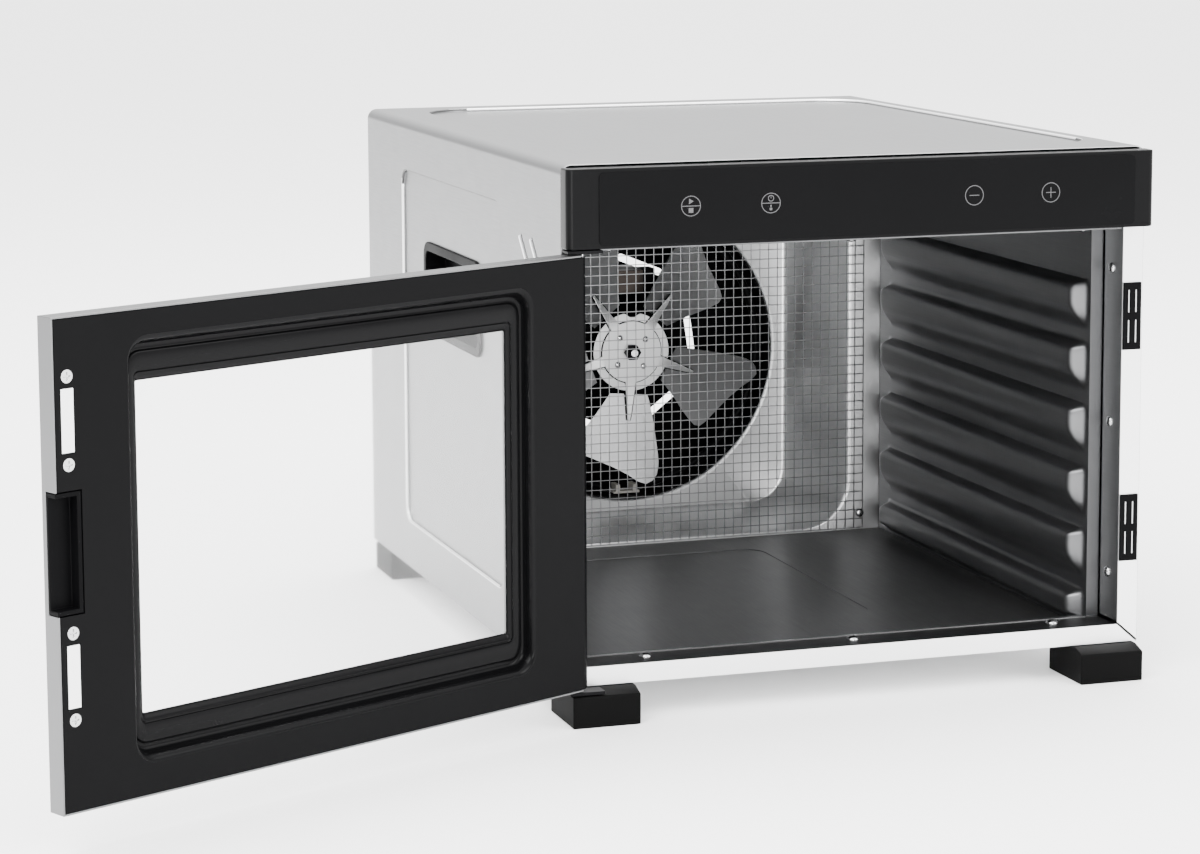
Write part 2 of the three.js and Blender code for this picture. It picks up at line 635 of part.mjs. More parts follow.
function heaterElement() {
  const points = [];
  const steps = 26;
  for (let i = 0; i <= steps; i += 1) {
    const turn = THREE.MathUtils.degToRad(-80 + (340 * i) / steps);
    points.push([HEATER.radius * Math.cos(turn), HEATER.y, FAN_CENTRE_Z + HEATER.radius * Math.sin(turn)]);
  }
  return node('heater_element', tube(points, HEATER.tube, 40), 'dark_steel');
}

function heaterHolder() {
  const z = FAN_CENTRE_Z - SHROUD_OUTER + SHEET + 1.2;
  const base = block(-9, 9, HEATER.y - 5, HEATER.y + 6, z, z + 1.6);
  const posts = [-7.5, 4.5].map((x) => block(x, x + 3, HEATER.y - 5, HEATER.y + 6, z, z + 6));
  return node('heater_holder', sum(base, ...posts), 'ceramic');
}

function thermalCutout() {
  const can = discZ(-60, 300, 8, CHAMBER_TOP + SHEET + GAP, CHAMBER_TOP + SHEET + 8);
  return node('thermal_cutout', can, 'black_plastic');
}

function temperatureProbe() {
  const rod = discZ(-112, 312, 2, CHAMBER_TOP - 26, CHAMBER_TOP - GAP, 12);
  const collar = discZ(-112, 312, 4.5, CHAMBER_TOP - 4, CHAMBER_TOP - GAP, 12);
  return node('temperature_probe', sum(rod, collar), 'bright_steel');
}

// ---------------------------------------------------------------- control head
function bezel() {
  const half = HALF_WIDTH;
  const rear = -GAP;
  const shape = roundedRectangle(-half, half, BEZEL_FRONT, 8, 3.5);
  const body = cut(alongZ(shape, BEZEL_BOTTOM, BEZEL_TOP, 4), block(-200, 200, rear, 20, 200, 300));
  const hollow = block(-half + BEZEL_WALL, half - BEZEL_WALL, BEZEL_FRONT + BEZEL_WALL, 20,
    BEZEL_BOTTOM + BEZEL_WALL, BEZEL_TOP - BEZEL_WALL);
  return node('bezel', cut(body, hollow), 'black_plastic');
}

function touchPanel() {
  const shape = roundedRectangle(-152.5, 158, BEZEL_BOTTOM + 1.6, BEZEL_TOP - 2, 3);
  return node('touch_panel', alongY(shape, BEZEL_FRONT - 0.6, BEZEL_FRONT - 0.05, 4), 'gloss_black');
}

function controlBoard() {
  const board = block(-135, 150, -5.5, -3.9, BEZEL_BOTTOM + 5, BEZEL_TOP - 5);
  const chip = block(70, 82, -4.2, -1.8, 252, 264);
  return node('control_board', sum(board, chip), 'board');
}

function displayModule() {
  const low = BEZEL_BOTTOM + 11;
  return node('display_module', block(-22, 30, -9.6, -5.8, low, BEZEL_TOP - 11), 'gloss_black');
}

const SILL_SCREWS = [-118.5, 3, 124.5];

function sillScrew(index) {
  const y = 16;
  const profile = [[0, SILL_TOP + 0.05], [3.4, SILL_TOP + 0.05], [3.1, SILL_TOP + 1.1],
    [2.1, SILL_TOP + 1.9], [0, SILL_TOP + 2.2]];
  const body = turnedZ(profile, SILL_SCREWS[index], y, 16);
  return node(`sill_screw_${index + 1}`, body, 'bright_steel');
}

function powerBoard() {
  const low = CHAMBER_TOP + SHEET + 4;
  const board = block(-50, 90, 150, 250, low, low + 1.6);
  const transformer = block(-40, -8, 165, 195, low + 1, low + 26);
  const relay = block(10, 26, 170, 190, low + 1, low + 18);
  const capacitor = discZ(55, 210, 9, low + 1, low + 24);
  return node('power_board', sum(board, transformer, relay, capacitor), 'board');
}

// ---------------------------------------------------------------- handles, feet, catches
function handleCup(side) {
  const face = HALF_WIDTH - SIDE_PANEL.depth;
  const depth = 13;
  const h = HANDLE;
  const rimShape = roundedRectangle(h.front - 3, h.rear + 3, h.low - 3, h.high + 3, h.radius + 2);
  const bodyShape = roundedRectangle(h.front + GAP, h.rear - GAP, h.low + GAP, h.high - GAP, h.radius);
  const hollowShape = roundedRectangle(h.front + 2.5, h.rear - 2.5, h.low + 2.5, h.high - 2.5, h.radius - 2);
  const rim = alongX(rimShape, face + 0.05, face + 1.5, 4);
  const body = alongX(bodyShape, face - depth, face + 1.5, 4);
  const hollow = alongX(hollowShape, face - depth + 1.8, face + 5, 4);
  const cup = cut(sum(rim, body), hollow);
  const placed = side > 0 ? cup : cup.mirror([1, 0, 0]);
  return node(side > 0 ? 'handle_cup_right' : 'handle_cup_left', placed, 'black_plastic');
}

const FOOT = { inner: 130, outer: 168, front: -12, length: 42 };

function foot(side, atFront) {
  const y0 = atFront ? FOOT.front : CABINET_DEPTH + 3 - FOOT.length;
  const profile = [[0, -FOOT_HEIGHT], [FOOT.length, -FOOT_HEIGHT], [FOOT.length, -GAP], [9, -GAP], [0, -3]];
  const rear = profile.map(([y, z]) => [FOOT.length - y, z]).reverse();
  const shape = polygon((atFront ? profile : rear).map(([y, z]) => [y + y0, z]));
  const x0 = side > 0 ? FOOT.inner : -FOOT.outer;
  let body = alongX(shape, x0, x0 + FOOT.outer - FOOT.inner);
  if (side < 0 && atFront) {
    body = body.subtract(block(-180, HINGE_PLATE.right + GAP, -20, HINGE_PLATE.rear + GAP, -2.6, 5));
  }
  const name = `foot_${atFront ? 'front' : 'rear'}_${side > 0 ? 'right' : 'left'}`;
  return node(name, body, 'rubber');
}

function magnetCatch(index) {
  const z = CATCH_CENTRES[index];
  const x = HALF_WIDTH - 6.6;
  let body = block(x - 5.5, x + 5.5, -1.1, -0.05, z - 19, z + 19);
  for (const dx of [-2.2, 2.2]) {
    for (const dz of [-8.5, 8.5]) {
      body = body.subtract(block(x + dx - 1, x + dx + 1, -3, -0.6, z + dz - 6.5, z + dz + 6.5));
    }
  }
  return node(index === 0 ? 'magnet_catch_lower' : 'magnet_catch_upper', body, 'black_plastic');
}

// ---------------------------------------------------------------- hinges
const HINGE_PLATE = { left: -169.5, right: -150, rear: 18, thickness: 1.7 };
const PIN_REACH = 9;

function hingeBottom() {
  const p = HINGE_PLATE;
  const top = -GAP;
  const plate = block(p.left, p.right, HINGE_Y - 4.5, p.rear, top - p.thickness, top);
  const pin = discZ(HINGE_X, HINGE_Y, PIN_RADIUS, top - 1, DOOR_BOTTOM + PIN_REACH, 20);
  return node('hinge_bottom', sum(plate, pin), 'dark_steel');
}

function hingeTop() {
  const p = HINGE_PLATE;
  const low = DOOR_TOP + 0.5;
  const plate = block(p.left, p.right, HINGE_Y - 4.5, -GAP, low, low + p.thickness);
  const tab = block(p.left, -HALF_WIDTH + POST_WIDTH - 1, -1.2, -GAP, 214, low + p.thickness);
  const pin = discZ(HINGE_X, HINGE_Y, PIN_RADIUS, DOOR_TOP - PIN_REACH, low + 1, 20);
  return node('hinge_top', sum(plate, tab, pin), 'dark_steel');
}

// ---------------------------------------------------------------- door, drawn closed
const SKIN_LEFT = HINGE_X;
const DOOR_SKIN = 1;
const GLASS_FRONT = DOOR_FRONT + DOOR_SKIN + GAP;
const GLASS_THICKNESS = 3.6;
const SEAL = 0.8;
const PULL = { left: 154, low: 95, high: 153, depth: 8 };

function window(extra, y0, y1, radius) {
  const shape = roundedRectangle(
    WINDOW_CENTRE_X - WINDOW_HALF_WIDTH - extra, WINDOW_CENTRE_X + WINDOW_HALF_WIDTH + extra,
    DOOR_CENTRE_Z - WINDOW_HALF_HEIGHT - extra, DOOR_CENTRE_Z + WINDOW_HALF_HEIGHT + extra, radius);
  return alongY(shape, y0, y1, 4);
}

function doorSkin() {
  const outer = block(SKIN_LEFT, DOOR_RIGHT, DOOR_FRONT, DOOR_REAR, DOOR_BOTTOM, DOOR_TOP);
  const inner = block(SKIN_LEFT - 1, DOOR_RIGHT - DOOR_SKIN, DOOR_FRONT + DOOR_SKIN, DOOR_REAR + 1,
    DOOR_BOTTOM + DOOR_SKIN, DOOR_TOP - DOOR_SKIN);
  const grip = block(PULL.left, DOOR_RIGHT + 1, DOOR_REAR - PULL.depth, DOOR_REAR + 1, PULL.low, PULL.high);
  const pinHole = discZ(HINGE_X, HINGE_Y, PIN_RADIUS + 0.5, DOOR_BOTTOM - 5, DOOR_TOP + 5, 20);
  return node('door_skin', cut(outer, inner, window(-1, DOOR_FRONT - 1, 0, 3), grip, pinHole), 'steel');
}

// The hinge edge of the frame is round about the hinge line, so that it turns clear of the cabinet.
function doorFrame() {
  const x0 = HINGE_X;
  const x1 = DOOR_RIGHT - DOOR_SKIN - GAP;
  const front = DOOR_FRONT + DOOR_SKIN + GAP;
  const low = DOOR_BOTTOM + DOOR_SKIN + GAP;
  const high = DOOR_TOP - DOOR_SKIN - GAP;
  const slab = block(x0, x1, front, DOOR_REAR, low, high);
  const edge = discZ(HINGE_X, HINGE_Y, DOOR_ROUND, low, high, 24)
    .subtract(block(SKIN_LEFT - GAP, HINGE_X + 10, DOOR_FRONT - 1, front, low - 1, high + 1));
  const step = alongY(roundedRectangle(
    STEP_CENTRE_X - STEP_HALF_WIDTH, STEP_CENTRE_X + STEP_HALF_WIDTH,
    DOOR_CENTRE_Z - STEP_HALF_HEIGHT, DOOR_CENTRE_Z + STEP_HALF_HEIGHT, 12),
  DOOR_REAR - 3, DOOR_REAR + 1, 5);
  const bevel = loftY(
    outline(WINDOW_CENTRE_X - WINDOW_HALF_WIDTH, WINDOW_CENTRE_X + WINDOW_HALF_WIDTH,
      DOOR_CENTRE_Z - WINDOW_HALF_HEIGHT, DOOR_CENTRE_Z + WINDOW_HALF_HEIGHT, 3, 4),
    DOOR_FRONT - 1,
    outline(WINDOW_CENTRE_X - WINDOW_HALF_WIDTH - 5, WINDOW_CENTRE_X + WINDOW_HALF_WIDTH + 5,
      DOOR_CENTRE_Z - WINDOW_HALF_HEIGHT - 5, DOOR_CENTRE_Z + WINDOW_HALF_HEIGHT + 5, 8, 4),
    DOOR_REAR);
  const rebate = window(6, front - 1, GLASS_FRONT + GLASS_THICKNESS + SEAL + GAP, 3);
  const grip = block(PULL.left - GAP, x1 + 1, DOOR_REAR - PULL.depth - GAP, DOOR_REAR + 1,
    PULL.low - GAP, PULL.high + GAP);
  const pinHoles = [
    discZ(HINGE_X, HINGE_Y, PIN_RADIUS + RUNNING_CLEARANCE, low - 1, DOOR_BOTTOM + PIN_REACH + 1, 20),
    discZ(HINGE_X, HINGE_Y, PIN_RADIUS + RUNNING_CLEARANCE, DOOR_TOP - PIN_REACH - 1, high + 1, 20),
  ];
  const strikes = CATCH_CENTRES.map((z) => block(STRIKE.left - GAP, STRIKE.left + STRIKE.width + GAP,
    DOOR_REAR - STRIKE.depth - GAP, DOOR_REAR + 1, z - STRIKE.half - GAP, z + STRIKE.half + GAP));
  const screws = CATCH_CENTRES.flatMap((z) => [-SCREW.offset, SCREW.offset].map((dz) => (
    discY(SCREW.x, z + dz, SCREW.radius + 0.1, DOOR_REAR - SCREW.sunk, DOOR_REAR + 2, 16))));
  const body = cut(sum(slab, edge), step, bevel, rebate, grip, ...pinHoles, ...strikes, ...screws);
  return node('door_frame', body, 'black_plastic');
}

function doorGlass() {
  const pane = window(5.5, GLASS_FRONT, GLASS_FRONT + GLASS_THICKNESS, 3);
  return node('door_glass', pane, 'glass');
}

function glassSeal() {
  const outer = window(5.5, GLASS_FRONT + GLASS_THICKNESS + 0.05, GLASS_FRONT + GLASS_THICKNESS + SEAL, 3);
  const opening = window(1.6, DOOR_FRONT, DOOR_REAR + 1, 3);
  return node('glass_seal', outer.subtract(opening), 'rubber');
}

const STRIKE = { left: 157, width: 7, half: 15, depth: 1.2 };
const SCREW = { x: 160.5, offset: 20.6, radius: 3.2, sunk: 2 };

function strikePlate(index) {
  const z = CATCH_CENTRES[index];
  const plate = block(STRIKE.left, STRIKE.left + STRIKE.width, DOOR_REAR - STRIKE.depth, DOOR_REAR,
    z - STRIKE.half, z + STRIKE.half);
  return node(index === 0 ? 'strike_plate_lower' : 'strike_plate_upper', plate, 'bright_steel');
}

function doorScrew(index) {
  const z = CATCH_CENTRES[Math.floor(index / 2)] + (index % 2 === 0 ? -SCREW.offset : SCREW.offset);
  const rear = DOOR_REAR;
  let head = discY(SCREW.x, z, SCREW.radius, rear - SCREW.sunk + 0.1, rear + 0.1, 16);
  head = head.subtract(block(SCREW.x - 2, SCREW.x + 2, rear - 0.8, rear + 1, z - 0.4, z + 0.4));
  head = head.subtract(block(SCREW.x - 0.4, SCREW.x + 0.4, rear - 0.8, rear + 1, z - 2, z + 2));
  return node(`door_screw_${index + 1}`, head, 'bright_steel');
}

function doorPull() {
  const right = DOOR_RIGHT;
  const low = DOOR_REAR - PULL.depth + GAP;
  const outer = block(PULL.left + GAP, right, low, DOOR_REAR, PULL.low + GAP, PULL.high - GAP);
  const hollow = block(PULL.left + 2.5, right + 1, low + 1.6, DOOR_REAR + 1, PULL.low + 2.5, PULL.high - 2.5);
  return node('door_pull', cut(outer, hollow), 'black_plastic');
}

// ---------------------------------------------------------------- assembly
function door() {
  const leaf = new THREE.Group();
  leaf.name = 'door_leaf';
  const parts = [doorSkin(), doorFrame(), doorGlass(), glassSeal(), doorPull()];
  for (const index of [0, 1]) {
    parts.push(strikePlate(index));
  }
  for (const index of [0, 1, 2, 3]) {
    parts.push(doorScrew(index));
  }
  for (const part of parts) {
    part.position.set(-HINGE_X, -HINGE_Y, 0);
    leaf.add(part);
  }
  leaf.position.set(HINGE_X, HINGE_Y, 0);
  leaf.rotation.z = THREE.MathUtils.degToRad(DOOR_OPEN_ANGLE);
  return leaf;
}

function fan() {
  const rotor = new THREE.Group();
  rotor.name = 'fan_rotor';
  rotor.add(fanHub(), fanNut(), motorShaft(), motorRotor());
  for (let i = 0; i < BLADE_COUNT; i += 1) {
    rotor.add(fanBlade(i));
  }
  return rotor;
}

function cabinet() {
  const body = new THREE.Group();
  body.name = 'cabinet_body';
  body.add(outerWrap(), basePan(), chamberLiner(-1), chamberLiner(1), chamberFloor(), chamberCeiling());
  body.add(plenumPanel(), meshGuard(), fanShroud(), rearPanel(), rearCover(), powerInlet());
  body.add(motorStator(), motorCoil(), motorBracket(), motorFrontBearing(), heaterElement());
  body.add(heaterHolder(), thermalCutout(), temperatureProbe(), bezel(), touchPanel(), displayModule());
  body.add(controlBoard(), powerBoard(), ...SILL_SCREWS.map((x, index) => sillScrew(index)));
  body.add(handleCup(-1), handleCup(1), hingeBottom(), hingeTop(), magnetCatch(0), magnetCatch(1));
  for (const side of [-1, 1]) {
    body.add(foot(side, true), foot(side, false));
  }
  return body;
}

// The part's origin is at the middle of its floor outline, on the floor, with the door open.
function dehydrator() {
  const part = new THREE.Group();
  part.name = 'food_dehydrator';
  part.add(cabinet(), fan(), door());
  const bounds = new THREE.Box3().setFromObject(part, true);
  const shift = new THREE.Vector3(
    -(bounds.min.x + bounds.max.x) / 2, -(bounds.min.y + bounds.max.y) / 2, FOOT_HEIGHT);
  for (const group of part.children) {
    group.position.add(shift);
  }
  return part;
}

export default dehydrator();
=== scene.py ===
"""Food dehydrator: the visible surfaces, finishes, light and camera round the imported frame.

Sizes are in millimetres in the cabinet's own frame: x = 0 on the centre line, y = 0 at the front of the
steel shell and z = 0 at the underside. Door pieces are drawn with the door shut and then turned open.
"""
import logging
import math
from dataclasses import dataclass
from enum import Enum
from typing import Callable, Iterable, Sequence

import bmesh
import bpy
from mathutils import Matrix, Vector


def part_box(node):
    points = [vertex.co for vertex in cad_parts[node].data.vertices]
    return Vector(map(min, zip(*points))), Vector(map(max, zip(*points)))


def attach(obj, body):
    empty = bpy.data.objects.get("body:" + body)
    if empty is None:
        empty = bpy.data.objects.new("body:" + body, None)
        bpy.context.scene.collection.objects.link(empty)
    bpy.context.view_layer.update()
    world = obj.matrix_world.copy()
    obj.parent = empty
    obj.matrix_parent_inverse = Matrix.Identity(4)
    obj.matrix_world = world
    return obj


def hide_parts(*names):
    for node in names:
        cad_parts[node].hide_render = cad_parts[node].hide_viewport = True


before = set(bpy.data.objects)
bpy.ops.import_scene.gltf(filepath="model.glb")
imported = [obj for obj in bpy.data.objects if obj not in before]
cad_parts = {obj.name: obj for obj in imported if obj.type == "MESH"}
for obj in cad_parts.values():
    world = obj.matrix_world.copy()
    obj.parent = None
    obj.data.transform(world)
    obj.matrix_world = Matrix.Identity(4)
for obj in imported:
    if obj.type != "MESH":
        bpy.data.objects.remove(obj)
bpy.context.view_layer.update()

LOG = logging.getLogger("dehydrator")
MM = 0.001
Point = tuple[float, float, float]
Flat = tuple[float, float]
Colour = tuple[float, float, float]
Drawing = tuple[list[Point], list[tuple[int, ...]]]
Rims = Callable[[bmesh.types.BMEdge], bool]
PRESSED_RADIUS = 1.15
PRESSED_STEPS = 4
SHADED_LEAN = 0.1
CLOUD_SCALE = 14.0
MARK_SCALE = 55.0
MARK_ROUGHNESS = 0.015


# ---------------------------------------------------------------- places

class Body(Enum):
    """The moving groups of the model."""

    CABINET = "cabinet"
    FAN = "fan"
    DOOR = "door"


@dataclass(frozen=True)
class Places:
    """Where drawings in millimetres go in the model's frame.

    Attributes:
        half_width: Half the cabinet's width.
        hinge: The door hinge in x and y.
        open_angle: The door's turn from shut to its rest, in degrees.
    """

    half_width: float = 170.0
    hinge: Flat = (-164.5, -7.0)
    open_angle: float = -154.0

    def cabinet(self) -> Matrix:
        """Return the matrix from cabinet millimetres to metres in the model's frame."""
        low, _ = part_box("outer_wrap")
        origin = Vector((low.x + self.half_width * MM, low.y, low.z))
        return Matrix.Translation(origin) @ Matrix.Scale(MM, 4)

    def door(self) -> Matrix:
        """Return the matrix from shut-door millimetres to metres with the door open at rest."""
        pivot = Vector((*self.hinge, 0.0))
        turn = Matrix.Rotation(math.radians(self.open_angle), 4, "Z")
        return self.cabinet() @ Matrix.Translation(pivot) @ turn @ Matrix.Translation(-pivot)

    def of(self, body: Body) -> Matrix:
        """Return the matrix to metres for drawings of one body."""
        return self.door() if body is Body.DOOR else self.cabinet()


PLACES = Places()


# ---------------------------------------------------------------- finishes

class ShaderSheet:
    """A material's node tree, with short calls to add and join nodes."""

    def __init__(self, name: str) -> None:
        """Start an empty principled material.

        Args:
            name: The material's name.
        """
        self.material = bpy.data.materials.new(name)
        self.material.use_nodes = True
        self.nodes = self.material.node_tree.nodes
        self.links = self.material.node_tree.links
        self.shader = self.nodes["Principled BSDF"]
        self.place = self.add("ShaderNodeTexCoord").outputs["Object"]

    def add(self, kind: str, **values: object) -> bpy.types.ShaderNode:
        """Add a node and set its properties and input sockets.

        Args:
            kind: The node's type name.
            **values: Properties of the node, or inputs with spaces written as underscores.

        Returns:
            The new node.
        """
        node = self.nodes.new(kind)
        for key, value in values.items():
            if hasattr(node, key):
                setattr(node, key, value)
            else:
                node.inputs[key.replace("_", " ")].default_value = value
        return node

    def join(self, source: bpy.types.NodeSocket, target: bpy.types.NodeSocket) -> None:
        """Link two sockets."""
        self.links.new(source, target)

    def stretched(self, scale: Point) -> bpy.types.NodeSocket:
        """Return Object coordinates scaled along each axis.

        Args:
            scale: The scale along x, y and z.

        Returns:
            The mapped vector.
        """
        mapping = self.add("ShaderNodeMapping")
        mapping.inputs["Scale"].default_value = scale
        self.join(self.place, mapping.inputs["Vector"])
        return mapping.outputs["Vector"]

    def noise(self, vector: bpy.types.NodeSocket, scale: float, detail: float) -> bpy.types.NodeSocket:
        """Return a noise pattern on a vector.

        Args:
            vector: The coordinates.
            scale: The pattern's scale.
            detail: The number of octaves.

        Returns:
            The noise value.
        """
        noise = self.add("ShaderNodeTexNoise", Scale=scale, Detail=detail)
        self.join(vector, noise.inputs["Vector"])
        return noise.outputs["Fac"]

    def remap(self, value: bpy.types.NodeSocket, low: float, high: float) -> bpy.types.NodeSocket:
        """Return a 0.3 to 0.7 pattern spread over a new range.

        Args:
            value: The pattern.
            low: The value at the pattern's dark end.
            high: The value at the pattern's light end.

        Returns:
            The new value.
        """
        node = self.add("ShaderNodeMapRange", From_Min=0.3, From_Max=0.7, To_Min=low, To_Max=high)
        self.join(value, node.inputs["Value"])
        return node.outputs["Result"]

    def blend(self, factor: bpy.types.NodeSocket, dark: Colour, light: Colour) -> bpy.types.NodeSocket:
        """Return a colour between two by a factor.

        Args:
            factor: The share of the light colour.
            dark: The colour at factor 0.
            light: The colour at factor 1.

        Returns:
            The blended colour.
        """
        node = self.add("ShaderNodeMix", data_type="RGBA")
        node.inputs["A"].default_value = (*dark, 1.0)
        node.inputs["B"].default_value = (*light, 1.0)
        self.join(factor, node.inputs["Factor"])
        return node.outputs["Result"]

    def relief(self, height: bpy.types.NodeSocket, strength: float, distance: float) -> None:
        """Drive the shader's normal from a height pattern.

        Args:
            height: The height pattern.
            strength: The bump's strength.
            distance: The bump's depth in metres.
        """
        bump = self.add("ShaderNodeBump", Strength=strength, Distance=distance)
        self.join(height, bump.inputs["Height"])
        self.join(bump.outputs["Normal"], self.shader.inputs["Normal"])


def shade(colour: Colour, factor: float) -> Colour:
    """Return a colour multiplied by a factor, with no channel brighter than 1."""
    return tuple(min(1.0, channel * factor) for channel in colour)


class Grain(Enum):
    """The way that the brushing runs, as a scale for the pattern."""

    ALONG_X = (0.03, 1.0, 1.0)
    ALONG_Y = (1.0, 0.03, 1.0)
    ALONG_Z = (1.0, 1.0, 0.03)
    NONE = (1.0, 1.0, 1.0)


@dataclass(frozen=True)
class SheetMetal:
    """Rolled or brushed metal with fine grain, soft clouding and handling marks.

    Attributes:
        name: The material's name.
        colour: The metal's colour.
        roughness: The mean roughness.
        grain: The brushing direction.
        grain_scale: Lines per metre of the brushing.
        grain_depth: How far the grain moves roughness.
        clouding: How far large soft patches move colour.
        relief: The grain's bump depth in metres.
    """

    name: str
    colour: Colour
    roughness: float
    grain: Grain = Grain.NONE
    grain_scale: float = 1400.0
    grain_depth: float = 0.03
    clouding: float = 0.05
    relief: float = 0.000005

    def make(self) -> bpy.types.Material:
        """Return the material."""
        sheet = ShaderSheet(self.name)
        sheet.shader.inputs["Metallic"].default_value = 1.0
        lines = sheet.noise(sheet.stretched(self.grain.value), self.grain_scale, 3.0)
        clouds = sheet.noise(sheet.place, CLOUD_SCALE, 4.0)
        marks = sheet.noise(sheet.place, MARK_SCALE, 6.0)
        low, high = shade(self.colour, 1.0 - self.clouding), shade(self.colour, 1.0 + self.clouding)
        sheet.join(sheet.blend(clouds, low, high), sheet.shader.inputs["Base Color"])
        fine = sheet.remap(lines, self.roughness - self.grain_depth, self.roughness + self.grain_depth)
        smear = sheet.remap(marks, -MARK_ROUGHNESS, MARK_ROUGHNESS)
        total = sheet.add("ShaderNodeMath", operation="ADD", use_clamp=True)
        sheet.join(fine, total.inputs[0])
        sheet.join(smear, total.inputs[1])
        sheet.join(total.outputs[0], sheet.shader.inputs["Roughness"])
        sheet.relief(lines, 0.12, self.relief)
        return sheet.material


@dataclass(frozen=True)
class Moulding:
    """Moulded plastic, rubber or ceramic with a fine pitted skin.

    Attributes:
        name: The material's name.
        colour: The plastic's colour.
        roughness: The mean roughness.
        pitting: Pits per metre.
        relief: The pits' depth in metres.
        specular: The shader's specular level.
        coat: The weight of a clear coat.
    """

    name: str
    colour: Colour
    roughness: float
    pitting: float = 2600.0
    relief: float = 0.00003
    specular: float = 0.5
    coat: float = 0.0

    def make(self) -> bpy.types.Material:
        """Return the material."""
        sheet = ShaderSheet(self.name)
        sheet.shader.inputs["Specular IOR Level"].default_value = self.specular
        sheet.shader.inputs["Coat Weight"].default_value = self.coat
        sheet.shader.inputs["Coat Roughness"].default_value = 0.04
        pits = sheet.noise(sheet.place, self.pitting, 2.0)
        clouds = sheet.noise(sheet.place, 22.0, 5.0)
        tone = sheet.blend(clouds, shade(self.colour, 0.85), shade(self.colour, 1.2))
        sheet.join(tone, sheet.shader.inputs["Base Color"])
        rough = sheet.remap(clouds, self.roughness - 0.04, self.roughness + 0.04)
        sheet.join(rough, sheet.shader.inputs["Roughness"])
        sheet.relief(pits, 0.35, self.relief)
        return sheet.material


@dataclass(frozen=True)
class ClearPane:
    """Flat clear glass with a trace of smears.

    Attributes:
        name: The material's name.
        tint: The glass's colour.
    """

    name: str
    tint: Colour

    def make(self) -> bpy.types.Material:
        """Return the material."""
        sheet = ShaderSheet(self.name)
        sheet.shader.inputs["Transmission Weight"].default_value = 1.0
        sheet.shader.inputs["IOR"].default_value = 1.45
        smears = sheet.noise(sheet.place, 9.0, 5.0)
        sheet.join(sheet.remap(smears, 0.0, 0.035), sheet.shader.inputs["Roughness"])
        tone = sheet.blend(smears, self.tint, shade(self.tint, 1.03))
        sheet.join(tone, sheet.shader.inputs["Base Color"])
        return sheet.material


@dataclass(frozen=True)
class Printed:
    """A printed symbol: pale ink with slight unevenness.

    Attributes:
        name: The material's name.
        colour: The ink's colour.
    """

    name: str
    colour: Colour

    def make(self) -> bpy.types.Material:
        """Return the material."""
        sheet = ShaderSheet(self.name)
        speckle = sheet.noise(sheet.place, 900.0, 3.0)
        tone = sheet.blend(speckle, shade(self.colour, 0.9), shade(self.colour, 1.1))
        sheet.join(tone, sheet.shader.inputs["Base Color"])
        sheet.join(sheet.remap(speckle, 0.4, 0.5), sheet.shader.inputs["Roughness"])
        return sheet.material


@dataclass(frozen=True)
class StagePaint:
    """The plain pale floor.

    Attributes:
        name: The material's name.
        colour: The floor's colour.
    """

    name: str
    colour: Colour

    def make(self) -> bpy.types.Material:
        """Return the material."""
        sheet = ShaderSheet(self.name)
        sheet.shader.inputs["Specular IOR Level"].default_value = 0.1
        clouds = sheet.noise(sheet.place, 0.8, 2.0)
        tone = sheet.blend(clouds, shade(self.colour, 0.99), self.colour)
        sheet.join(tone, sheet.shader.inputs["Base Color"])
        sheet.join(sheet.remap(clouds, 0.85, 0.95), sheet.shader.inputs["Roughness"])
        return sheet.material


